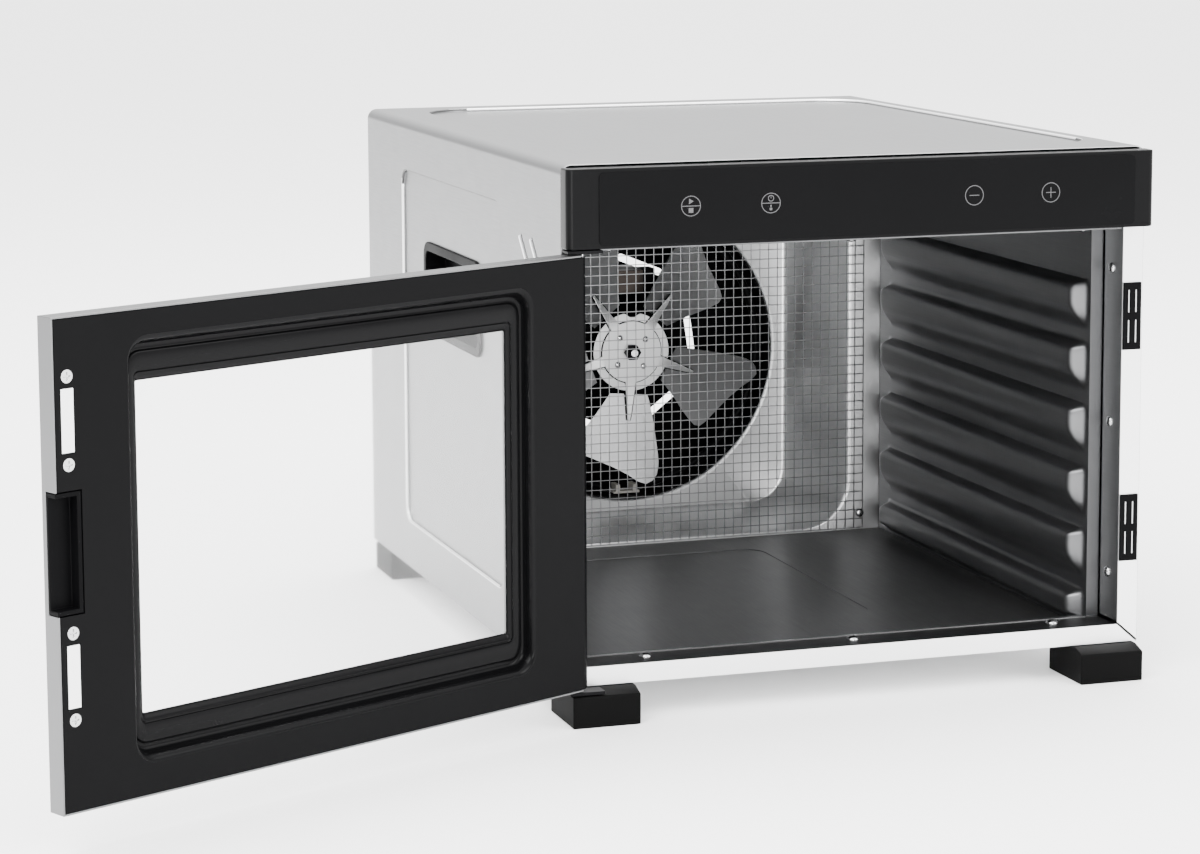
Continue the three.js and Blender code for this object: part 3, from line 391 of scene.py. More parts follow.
class Finishes:
    """Every finish on the appliance, made once and handed out by name."""

    RECIPES = (
        SheetMetal("shell_steel", (0.215, 0.217, 0.22), 0.38, Grain.ALONG_Y, 1500.0, 0.03, 0.02),
        # Dark copy of the shell steel: painted shade on the shaded rims of the pressings.
        SheetMetal("painted_shade_steel", (0.07, 0.07, 0.071), 0.40, Grain.NONE, 1500.0, 0.03, 0.02),
        # Bright steel: the base pan's rail and the strike plates, and also a painted highlight on the front posts,
        # the lit rims of the pressings and the louvre slats.
        SheetMetal("bright_steel_and_painted_highlight", (0.95, 0.952, 0.955), 0.36, Grain.ALONG_X, 1500.0, 0.03, 0.02),
        SheetMetal("door_steel", (0.15, 0.151, 0.153), 0.34, Grain.ALONG_Z, 1500.0, 0.03, 0.02),
        # Two copies of one chamber steel: the darker is painted shade on the right wall, the ceiling and the flanges;
        # the lighter is painted light on the left wall.
        SheetMetal("painted_shade_chamber_steel", (0.13, 0.131, 0.134), 0.40, Grain.ALONG_Y, 1200.0, 0.03, 0.04),
        SheetMetal("painted_light_chamber_steel", (0.34, 0.342, 0.345), 0.40, Grain.ALONG_Y, 1200.0, 0.03, 0.04),
        SheetMetal("floor_shadow", (0.035, 0.035, 0.036), 0.45, Grain.ALONG_X, 1200.0, 0.03, 0.04),
        SheetMetal("floor_steel", (0.20, 0.201, 0.203), 0.38, Grain.ALONG_Y, 1200.0, 0.03, 0.06),
        SheetMetal("plenum_steel", (0.40, 0.402, 0.405), 0.40, Grain.ALONG_X, 1100.0, 0.03, 0.03),
        # Bright copy of the plenum steel: painted light on the plenum's sloping faces.
        SheetMetal("painted_light_plenum_slope", (0.92, 0.922, 0.925), 0.40, Grain.ALONG_X, 1100.0, 0.03, 0.03),
        SheetMetal("guard_wire", (0.26, 0.262, 0.265), 0.36, Grain.NONE, 3000.0, 0.03, 0.04),
        SheetMetal("fan_aluminium", (0.27, 0.272, 0.275), 0.34, Grain.NONE, 1800.0, 0.04, 0.05),
        SheetMetal("hub_aluminium", (0.6, 0.602, 0.605), 0.42, Grain.NONE, 1800.0, 0.04, 0.05),
        SheetMetal("polished_steel", (0.50, 0.503, 0.506), 0.18, Grain.NONE, 2600.0, 0.03, 0.03),
        SheetMetal("winding_copper", (0.045, 0.038, 0.034), 0.4, Grain.ALONG_X, 2600.0, 0.05, 0.1, 0.0001),
        Moulding("black_oxide", (0.003, 0.003, 0.0034), 0.45, 2400.0, 0.00001, 0.05),
        Moulding("head_plastic", (0.0015, 0.0015, 0.0017), 0.30, 2600.0, 0.000006, 0.07),
        Moulding("door_plastic", (0.002, 0.002, 0.0022), 0.36, 2400.0, 0.00001, 0.04),
        Moulding("bead_plastic", (0.002, 0.002, 0.0022), 0.24, 2400.0, 0.000004, 0.06),
        Moulding("cup_plastic", (0.0015, 0.0015, 0.0017), 0.46, 2400.0, 0.00001, 0.03),
        Moulding("touch_gloss", (0.0015, 0.0015, 0.0017), 0.24, 1200.0, 0.000002, 0.05),
        Moulding("foot_rubber", (0.002, 0.002, 0.002), 0.55, 1800.0, 0.00003, 0.03),
        Moulding("circuit_board", (0.02, 0.08, 0.03), 0.5),
        Moulding("ceramic", (0.35, 0.34, 0.31), 0.6, 1500.0, 0.00002),
        ClearPane("door_pane", (0.97, 0.975, 0.975)),
        Printed("symbol_ink", (0.045, 0.045, 0.047)),
        StagePaint("stage_floor", (0.97, 0.97, 0.97)),
    )

    def __init__(self) -> None:
        """Make every material."""
        self.made = {recipe.name: recipe.make() for recipe in self.RECIPES}

    def __getitem__(self, name: str) -> bpy.types.Material:
        """Return a material by its name."""
        return self.made[name]


# ---------------------------------------------------------------- making pieces

def show(name: str, mesh: bpy.types.Mesh, finish: bpy.types.Material) -> bpy.types.Object:
    """Put a mesh in the scene as a finished object.

    Args:
        name: The object's name.
        mesh: Its mesh, in metres in the model's frame.
        finish: Its material.

    Returns:
        The object.
    """
    piece = bpy.data.objects.new(name, mesh)
    bpy.context.scene.collection.objects.link(piece)
    mesh.materials.clear()
    mesh.materials.append(finish)
    return piece


def smooth(mesh: bpy.types.Mesh, angle: float = 32.0) -> None:
    """Shade a mesh smooth except across edges sharper than an angle in degrees."""
    mesh.shade_smooth()
    mesh.set_sharp_from_angle(angle=math.radians(angle))


def bake(piece: bpy.types.Object) -> None:
    """Turn a piece's modifiers into a plain mesh.

    Args:
        piece: The object.
    """
    graph = bpy.context.evaluated_depsgraph_get()
    mesh = bpy.data.meshes.new_from_object(piece.evaluated_get(graph), depsgraph=graph)
    piece.modifiers.clear()
    piece.data = mesh


def flatten_faces(piece: bpy.types.Object) -> None:
    """Keep broad faces flat in the light by weighing normals towards them.

    Args:
        piece: The object.
    """
    weigh = piece.modifiers.new("broad_faces", "WEIGHTED_NORMAL")
    weigh.weight = 100
    weigh.keep_sharp = True
    bake(piece)


def settle(piece: bpy.types.Object, body: Body, nodes: Sequence[str] = ()) -> bpy.types.Object:
    """Tie a piece to its body and the nodes that it stands for.

    Args:
        piece: The piece.
        body: The body that it rides on.
        nodes: CAD nodes that the piece replaces.

    Returns:
        The piece.
    """
    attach(piece, body.value)
    if nodes:
        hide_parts(*nodes)
    LOG.info("%s: %d faces", piece.name, len(piece.data.polygons))
    return piece


def mesh_of(name: str, points: Sequence[Point], faces: Sequence[Sequence[int]], matrix: Matrix) -> bpy.types.Mesh:
    """Return a mesh with outward faces, moved to the model's frame.

    Args:
        name: The mesh's name.
        points: Points in millimetres.
        faces: Faces as point numbers.
        matrix: The matrix to metres.

    Returns:
        The mesh.
    """
    shape = bmesh.new()
    corners = [shape.verts.new(matrix @ Vector(point)) for point in points]
    for face in faces:
        shape.faces.new([corners[i] for i in face])
    bmesh.ops.recalc_face_normals(shape, faces=shape.faces)
    mesh = bpy.data.meshes.new(name)
    shape.to_mesh(mesh)
    shape.free()
    smooth(mesh)
    return mesh


def drawn(name: str, drawing: Drawing, finish: bpy.types.Material, body: Body,
          nodes: Sequence[str] = ()) -> bpy.types.Object:
    """Show a drawing in millimetres as a finished piece.

    Args:
        name: The piece's name.
        drawing: Its points and faces.
        finish: Its material.
        body: The body that it rides on.
        nodes: CAD nodes that the piece replaces.

    Returns:
        The piece.
    """
    return settle(show(name, mesh_of(name, *drawing, PLACES.of(body)), finish), body, nodes)


def softened(node: str, width: float, segments: int = 2, sharp: float = 30.0,
             rims: Rims | None = None) -> bpy.types.Mesh:
    """Return a copy of a CAD node with its sharp edges eased.

    Args:
        node: The CAD node.
        width: The easing's width in millimetres.
        segments: Faces across each easing.
        sharp: Edges bent by more than this many degrees are eased.
        rims: Picks the edges that take a pressing's wider radius first.

    Returns:
        The new mesh.
    """
    shape = bmesh.new()
    shape.from_mesh(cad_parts[node].data)
    bmesh.ops.remove_doubles(shape, verts=shape.verts, dist=2e-6)
    bmesh.ops.dissolve_limit(shape, angle_limit=math.radians(1.0), verts=shape.verts, edges=shape.edges)
    if rims:
        bent = [e for e in shape.edges if e.calc_face_angle(0.0) > math.radians(sharp) and rims(e)]
        made = bmesh.ops.bevel(
            shape, geom=bent, offset=PRESSED_RADIUS * MM, offset_type="OFFSET", segments=PRESSED_STEPS,
            # Rim faces that face rearwards, face down, or face up and to the right take material 1, the dark steel,
            # as painted shade; the rest take material 2, the bright steel, as a painted highlight.
            profile=0.5, clamp_overlap=True, affect="EDGES")
        for face in made["faces"]:
            face.normal_update()
            x, y, z = face.normal
            shaded = y > SHADED_LEAN or z < -SHADED_LEAN or min(x, z) > SHADED_LEAN
            face.material_index = 1 if shaded else 2
    edges = [e for e in shape.edges if len(e.link_faces) == 2 and e.calc_face_angle(0.0) > math.radians(sharp)]
    bmesh.ops.bevel(
        shape, geom=edges, offset=width * MM, offset_type="OFFSET", segments=segments, profile=0.5,
        clamp_overlap=True, affect="EDGES")
    bmesh.ops.remove_doubles(shape, verts=shape.verts, dist=1e-6)
    mesh = bpy.data.meshes.new(node + "_eased")
    shape.to_mesh(mesh)
    shape.free()
    smooth(mesh, 40.0)
    return mesh


def eased(node: str, finish: bpy.types.Material, body: Body, width: float,
          segments: int = 2, sharp: float = 30.0) -> bpy.types.Object:
    """Show a CAD node's eased copy in place of it.

    Args:
        node: The CAD node.
        finish: The copy's material.
        body: The body that it rides on.
        width: The easing's width in millimetres.
        segments: Faces across each easing.
        sharp: Edges bent by more than this many degrees are eased.

    Returns:
        The piece.
    """
    piece = show(node + "_finish", softened(node, width, segments, sharp), finish)
    flatten_faces(piece)
    return settle(piece, body, (node,))


def rounded_outline(a0: float, a1: float, b0: float, b1: float, radius: float, steps: int = 8) -> list[Flat]:
    """Return points round a rounded rectangle, anticlockwise from its lower right corner.

    Args:
        a0: The low first coordinate.
        a1: The high first coordinate.
        b0: The low second coordinate.
        b1: The high second coordinate.
        radius: The corner radius.
        steps: Steps round each corner.

    Returns:
        The points.
    """
    corners = (
        (a1 - radius, b0 + radius, -0.5), (a1 - radius, b1 - radius, 0.0),
        (a0 + radius, b1 - radius, 0.5), (a0 + radius, b0 + radius, 1.0))
    points = []
    for a, b, quarter in corners:
        for i in range(steps + 1):
            turn = math.pi * (quarter + i / (2 * steps))
            points.append((a + radius * math.cos(turn), b + radius * math.sin(turn)))
    return points


def spread(outline: Sequence[Flat], count: int) -> list[Flat]:
    """Return a closed outline's points spread evenly along it.

    Args:
        outline: The outline's points.
        count: The number of points wanted.

    Returns:
        The new points.
    """
    ends = [Vector(point) for point in (*outline, outline[0])]
    reach = [0.0]
    for here, there in zip(ends, ends[1:]):
        reach.append(reach[-1] + (there - here).length)
    points = []
    leg = 0
    for i in range(count):
        goal = reach[-1] * i / count
        while reach[leg + 1] < goal:
            leg += 1
        share = (goal - reach[leg]) / (reach[leg + 1] - reach[leg])
        spot = ends[leg].lerp(ends[leg + 1], share)
        points.append((spot.x, spot.y))
    return points


def ring_faces(rings: int, count: int, closed: bool) -> list[tuple[int, ...]]:
    """Return quads that join rings of points.

    Args:
        rings: The number of rings.
        count: Points in each ring.
        closed: True to join the last ring to the first.

    Returns:
        The faces.
    """
    faces = []
    for ring in range(rings if closed else rings - 1):
        here, there = ring * count, ((ring + 1) % rings) * count
        for i in range(count):
            j = (i + 1) % count
            faces.append((here + i, here + j, there + j, there + i))
    return faces


def prism(outline: Sequence[Flat], y0: float, y1: float) -> Drawing:
    """Return a flat shape in x and z made thick along y.

    Args:
        outline: The outline's points.
        y0: The front.
        y1: The rear.

    Returns:
        The points and the faces.
    """
    count = len(outline)
    points = [(x, y, z) for y in (y0, y1) for x, z in outline]
    faces = ring_faces(2, count, False)
    faces += [tuple(range(count)), tuple(range(2 * count - 1, count - 1, -1))]
    return points, faces


def gathered(parts: Iterable[Drawing]) -> Drawing:
    """Join several drawings into one.

    Args:
        parts: Points and faces of each.

    Returns:
        All points and faces.
    """
    points: list[Point] = []
    faces: list[tuple[int, ...]] = []
    for more_points, more_faces in parts:
        base = len(points)
        points += more_points
        faces += [tuple(i + base for i in face) for face in more_faces]
    return points, faces


class Recipe:
    """A Geometry Nodes tree built in code, with named inputs."""

    def __init__(self, name: str) -> None:
        """Start a tree with a geometry output.

        Args:
            name: The tree's name.
        """
        self.tree = bpy.data.node_groups.new(name, "GeometryNodeTree")
        self.tree.interface.new_socket("Geometry", in_out="OUTPUT", socket_type="NodeSocketGeometry")
        self.inlet = self.tree.nodes.new("NodeGroupInput")
        self.outlet = self.tree.nodes.new("NodeGroupOutput")

    def needs(self, name: str, kind: str = "Float") -> None:
        """Declare a named input of a kind such as Float, Int, Vector, Material or Geometry."""
        self.tree.interface.new_socket(name, in_out="INPUT", socket_type="NodeSocket" + kind)

    def given(self, name: str) -> bpy.types.NodeSocket:
        """Return a named input's value."""
        return self.inlet.outputs[name]

    def add(self, kind: str, joins: dict[str | int, object] | None = None, **values: object) -> bpy.types.Node:
        """Add a node, set properties and fill inputs.

        Args:
            kind: The node's type name.
            joins: Inputs by name or number, each a socket to link or a value.
            **values: Properties of the node.

        Returns:
            The node.
        """
        node = self.tree.nodes.new(kind)
        for key, value in values.items():
            setattr(node, key, value)
        for key, value in (joins or {}).items():
            if isinstance(value, bpy.types.NodeSocket):
                self.tree.links.new(value, node.inputs[key])
            else:
                node.inputs[key].default_value = value
        return node

    def math(self, operation: str, first: object, second: object = 0.0) -> bpy.types.NodeSocket:
        """Return the result of a math node on two values or sockets."""
        return self.add("ShaderNodeMath", {0: first, 1: second}, operation=operation).outputs[0]

    def end(self, geometry: bpy.types.NodeSocket) -> None:
        """Realize the instances, set the finish and close the tree.

        Args:
            geometry: The geometry to hand out.
        """
        real = self.add("GeometryNodeRealizeInstances", {"Geometry": geometry})
        dressed = self.add(
            "GeometryNodeSetMaterial", {"Geometry": real.outputs[0], "Material": self.given("Finish")})
        self.tree.links.new(dressed.outputs[0], self.outlet.inputs[0])

    def grow(self, name: str, matrix: Matrix, finish: bpy.types.Material,
             seed_points: Sequence[Point] = (), **sizes: object) -> bpy.types.Object:
        """Run the tree once and keep its result as a plain mesh.

        Args:
            name: The piece's name.
            matrix: The matrix from the tree's millimetres to the model's frame.
            finish: The piece's material.
            seed_points: Points that the tree may place things on.
            **sizes: Values of the named inputs, with spaces written as underscores.

        Returns:
            The object with a plain mesh.
        """
        start = bpy.data.meshes.new(name)
        start.from_pydata(list(seed_points), [], [])
        piece = bpy.data.objects.new(name, start)
        bpy.context.scene.collection.objects.link(piece)
        run = piece.modifiers.new(self.tree.name, "NODES")
        run.node_group = self.tree
        values = {key.replace("_", " "): value for key, value in sizes.items()}
        values["Finish"] = finish
        for item in self.tree.interface.items_tree:
            if item.item_type == "SOCKET" and item.in_out == "INPUT" and item.name in values:
                run[item.identifier] = values[item.name]
        graph = bpy.context.evaluated_depsgraph_get()
        mesh = bpy.data.meshes.new_from_object(piece.evaluated_get(graph), depsgraph=graph)
        piece.modifiers.clear()
        mesh.transform(matrix)
        piece.data = mesh
        mesh.materials.clear()
        mesh.materials.append(finish)
        smooth(mesh)
        return piece


def wire_grid_recipe() -> Recipe:
    """Return the tree of a welded wire panel: upright wires behind level ones."""
    recipe = Recipe("wire_grid")
    for name, kind in (("Width", "Float"), ("Height", "Float"), ("Columns", "Int"), ("Rows", "Int"),
                       ("Wire Radius", "Float"), ("Finish", "Material")):
        recipe.needs(name, kind)
    layers = []
    for along, across, count, turn, depth in (
            ("Width", "Height", "Columns", 0.0, 1.0), ("Height", "Width", "Rows", math.pi / 2, -1.0)):
        half = recipe.math("MULTIPLY", recipe.given(along), 0.5)
        low = recipe.math("MULTIPLY", half, -1.0)
        offset = recipe.math("MULTIPLY", recipe.given("Wire Radius"), depth * 0.9)
        axis = "X" if along == "Width" else "Z"
        ends = []
        for value in (low, half):
            ends.append(recipe.add("ShaderNodeCombineXYZ", {axis: value, "Y": offset}).outputs[0])
        line = recipe.add("GeometryNodeMeshLine", {
            "Count": recipe.given(count), "Start Location": ends[0], "Offset": ends[1]}, mode="END_POINTS")
        wire = recipe.add("GeometryNodeMeshCylinder", {
            "Vertices": 6, "Radius": recipe.given("Wire Radius"), "Depth": recipe.given(across)})
        placed = recipe.add("GeometryNodeInstanceOnPoints", {
            "Points": line.outputs[0], "Instance": wire.outputs[0], "Rotation": (0.0, turn, 0.0)})
        layers.append(placed.outputs[0])
    joined = recipe.add("GeometryNodeJoinGeometry")
    for layer in layers:
        recipe.tree.links.new(layer, joined.inputs[0])
    recipe.end(joined.outputs[0])
    return recipe


def dome_recipe() -> Recipe:
    """Return the tree that puts a low dome on every seed point, for screw heads and rivets."""
    recipe = Recipe("dome_heads")
    for name, kind in (("Points", "Geometry"), ("Radius", "Float"), ("Height", "Float"),
                       ("Facing", "Vector"), ("Finish", "Material")):
        recipe.needs(name, kind)
    ball = recipe.add("GeometryNodeMeshUVSphere", {"Segments": 18, "Rings": 10, "Radius": 1.0})
    scale = recipe.add("ShaderNodeCombineXYZ", {
        "X": recipe.given("Radius"), "Y": recipe.given("Radius"), "Z": recipe.given("Height")})
    placed = recipe.add("GeometryNodeInstanceOnPoints", {
        "Points": recipe.given("Points"), "Instance": ball.outputs[0],
        "Rotation": recipe.given("Facing"), "Scale": scale.outputs[0]})
    recipe.end(placed.outputs[0])
    return recipe


def strip_recipe() -> Recipe:
    """Return the tree of a two by two set of upright strips."""
    recipe = Recipe("strip_set")
    for name, kind in (("Spread X", "Float"), ("Spread Z", "Float"), ("Strip", "Vector"), ("Finish", "Material")):
        recipe.needs(name, kind)
    grid = recipe.add("GeometryNodeMeshGrid", {
        "Size X": recipe.given("Spread X"), "Size Y": recipe.given("Spread Z"), "Vertices X": 2, "Vertices Y": 2})
    upright = recipe.add("GeometryNodeTransform", {"Geometry": grid.outputs[0], "Rotation": (math.pi / 2, 0.0, 0.0)})
    strip = recipe.add("GeometryNodeMeshCube", {"Size": recipe.given("Strip")})
    placed = recipe.add("GeometryNodeInstanceOnPoints", {"Points": upright.outputs[0], "Instance": strip.outputs[0]})
    recipe.end(placed.outputs[0])
    return recipe


def ribbed_wall_recipe() -> Recipe:
    """Return the tree of a chamber wall: a flat sheet pressed inwards into evenly spaced ribs."""
    recipe = Recipe("ribbed_wall")
    for name, kind in (("Length", "Float"), ("Height", "Float"), ("Rib Depth", "Float"), ("Rib Pitch", "Float"),
                       ("Rib Top", "Float"), ("Front Margin", "Float"), ("Rear Margin", "Float"), ("Ramp", "Float"),
                       ("Columns", "Int"), ("Rows", "Int"), ("Finish", "Material")):
        recipe.needs(name, kind)
    grid = recipe.add("GeometryNodeMeshGrid", {
        "Size X": recipe.given("Height"), "Size Y": recipe.given("Length"),
        "Vertices X": recipe.given("Rows"), "Vertices Y": recipe.given("Columns")})
    place = recipe.add("ShaderNodeSeparateXYZ", {0: recipe.add("GeometryNodeInputPosition").outputs[0]})
    height = recipe.math("ADD", place.outputs["X"], recipe.math("MULTIPLY", recipe.given("Height"), 0.5))
    along = place.outputs["Y"]
    drop = recipe.math("SUBTRACT", recipe.given("Rib Top"), height)
    turn = recipe.math("DIVIDE", drop, recipe.given("Rib Pitch"))
    phase = recipe.math("FRACT", recipe.math("MAXIMUM", turn, 0.0))
    section = recipe.add("ShaderNodeFloatCurve", {"Value": phase})
    curve = section.mapping.curves[0]
    curve.points[0].location = (0.0, 0.0)
    curve.points[1].location = (1.0, 0.0)
    for spot in ((0.04, 0.45), (0.08, 0.86), (0.13, 0.98), (0.22, 1.0), (0.38, 0.96), (0.50, 0.78),
                 (0.62, 0.42), (0.72, 0.12), (0.80, 0.0)):
        curve.points.new(*spot)
    section.mapping.update()
    half = recipe.math("MULTIPLY", recipe.given("Length"), 0.5)
    ends = []
    for margin, sign in (("Front Margin", 1.0), ("Rear Margin", -1.0)):
        reach = recipe.math("ADD", half, recipe.math("MULTIPLY", along, sign))
        start = recipe.given(margin)
        ramp = recipe.add("ShaderNodeMapRange", {
            "Value": reach, "From Min": start, "From Max": recipe.math("ADD", start, recipe.given("Ramp")),
            "To Min": 0.0, "To Max": 1.0}, interpolation_type="SMOOTHSTEP")
        ends.append(ramp.outputs[0])
    edge = recipe.math("MULTIPLY", ends[0], ends[1])
    below = recipe.add("ShaderNodeMapRange", {
        "Value": height, "From Min": 2.0, "From Max": 8.0, "To Min": 0.0, "To Max": 1.0})
    share = recipe.math("MULTIPLY", edge, below.outputs[0])
    depth = recipe.math("MULTIPLY", recipe.math("MULTIPLY", section.outputs[0], share), recipe.given("Rib Depth"))
    inward = recipe.math("MULTIPLY", depth, -1.0)
    spot = recipe.add("ShaderNodeCombineXYZ", {"X": inward, "Y": along, "Z": height})
    shaped = recipe.add("GeometryNodeSetPosition", {"Geometry": grid.outputs[0], "Position": spot.outputs[0]})
    recipe.end(shaped.outputs[0])
    return recipe


def thickened(piece: bpy.types.Object, thickness: float, outward: bool) -> None:
    """Give an open sheet a thickness and close its edges.

    Args:
        piece: The object.
        thickness: The sheet's thickness in millimetres.
        outward: True to grow towards the side that the faces look to.
    """
    wall = piece.modifiers.new("wall", "SOLIDIFY")
    wall.thickness = thickness * MM
    wall.offset = 1.0 if outward else -1.0
    wall.use_even_offset = False
    bake(piece)


# ---------------------------------------------------------------- sub-assemblies

@dataclass
class Shell:
    """The folded steel case with its base, rear sheet, feet and hand cups.

    Attributes:
        finishes: The finishes.
        fold_ease: The easing of sheet edges.
        foot_ease: The easing of the feet.
        side_plane: The distance of a side's outer face from the centre line.
        top_plane: The top's height.
        side_pocket: The side pressings' y0, y1, z0 and z1.
        top_pocket: The top pressing's x0, x1, y0 and y1.
        slat_spots: The upper ends of the louvre slats in y and z.
        slat_half: Half a slat's thickness along each axis.
        slat_fall: How far a slat runs forward and down.
    """

    finishes: Finishes
    fold_ease: float = 0.35
    foot_ease: float = 0.8
    side_plane: float = 169.95
    top_plane: float = 281.45
    side_pocket: tuple[float, ...] = (115.5, 334.5, 29.5, 250.5)
    top_pocket: tuple[float, ...] = (-141.5, 156.5, 26.5, 401.5)
    slat_spots: tuple[Flat, ...] = ((75.0, 236.0), (54.4, 236.0))
    slat_half: float = 0.62
    slat_fall: float = 12.0

    def build(self) -> None:
        """Make and dress every piece of the case."""
        for node, finish, slot, width in (
                ("base_pan", "bright_steel_and_painted_highlight", "bright_steel", self.fold_ease),
                ("rear_panel", "shell_steel", "steel", self.fold_ease),
                ("rear_cover", "cup_plastic", "black_plastic", 0.4),
                ("power_inlet", "cup_plastic", "black_plastic", 0.3),
                ("handle_cup_left", "cup_plastic", "black_plastic", 0.6),
                ("handle_cup_right", "cup_plastic", "black_plastic", 0.6)):
            eased(node, self.finishes[finish], Body.CABINET, width)
        self.wrap()
        self.louvres()
        for node in ("foot_front_left", "foot_front_right", "foot_rear_left", "foot_rear_right"):
            eased(node, self.finishes["foot_rubber"], Body.CABINET, self.foot_ease, 3)

    def wrap(self) -> None:
        """Make the folded case, with painted shade and painted highlights on the rims of its pressings and a painted
        highlight on its front posts.
        """
        mesh = softened("outer_wrap", self.fold_ease, rims=self.pressed_rim)
        tones = [face.material_index for face in mesh.polygons]
        piece = show("outer_wrap_finish", mesh, self.finishes["shell_steel"])
        for name in ("painted_shade_steel", "bright_steel_and_painted_highlight"):
            piece.data.materials.append(self.finishes[name])
        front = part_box("outer_wrap")[0].y
        # The front faces of the posts take the bright steel as a painted highlight.
        for face, tone in zip(piece.data.polygons, tones):
            face.material_index = tone
            if face.normal.y < -0.95 and face.center.y < front + 0.5 * MM:
                face.material_index = 2
        flatten_faces(piece)
        settle(piece, Body.CABINET, ("outer_wrap",))

    def pressed_rim(self, edge: bmesh.types.BMEdge) -> bool:
        """Return whether an edge is the outer rim of a pressed pocket in the top or in a side.

        Args:
            edge: The edge, in metres.

        Returns:
            True for a rim.
        """
        inverse = PLACES.cabinet().inverted()
        a, b = (inverse @ vertex.co for vertex in edge.verts)
        x, y, z = (a + b) / 2.0
        front, rear, low, high = self.side_pocket
        if min(abs(a.x), abs(b.x)) > self.side_plane and front < y < rear and low < z < high:
            return True
        left, right, front, rear = self.top_pocket
        return min(a.z, b.z) > self.top_plane and front < y < rear and left < x < right

    def louvres(self) -> None:
        """Make the slats that stand in the two slanted air slots of the left side as their lips, in bright steel as a
        painted highlight.
        """
        parts = []
        half = self.slat_half
        for tip in self.slat_spots:
            tail = (tip[0] - self.slat_fall, tip[1] - self.slat_fall)
            corners = [(tip[0] - half, tip[1] + half), (tip[0] + half, tip[1] - half),
                       (tail[0] + half, tail[1] - half), (tail[0] - half, tail[1] + half)]
            points = [(x, a, b) for x in (-170.9, -169.4) for a, b in corners]
            parts.append((points, [*ring_faces(2, 4, False), (0, 1, 2, 3), (7, 6, 5, 4)]))
        drawn("louvre_slats", gathered(parts), self.finishes["bright_steel_and_painted_highlight"], Body.CABINET)


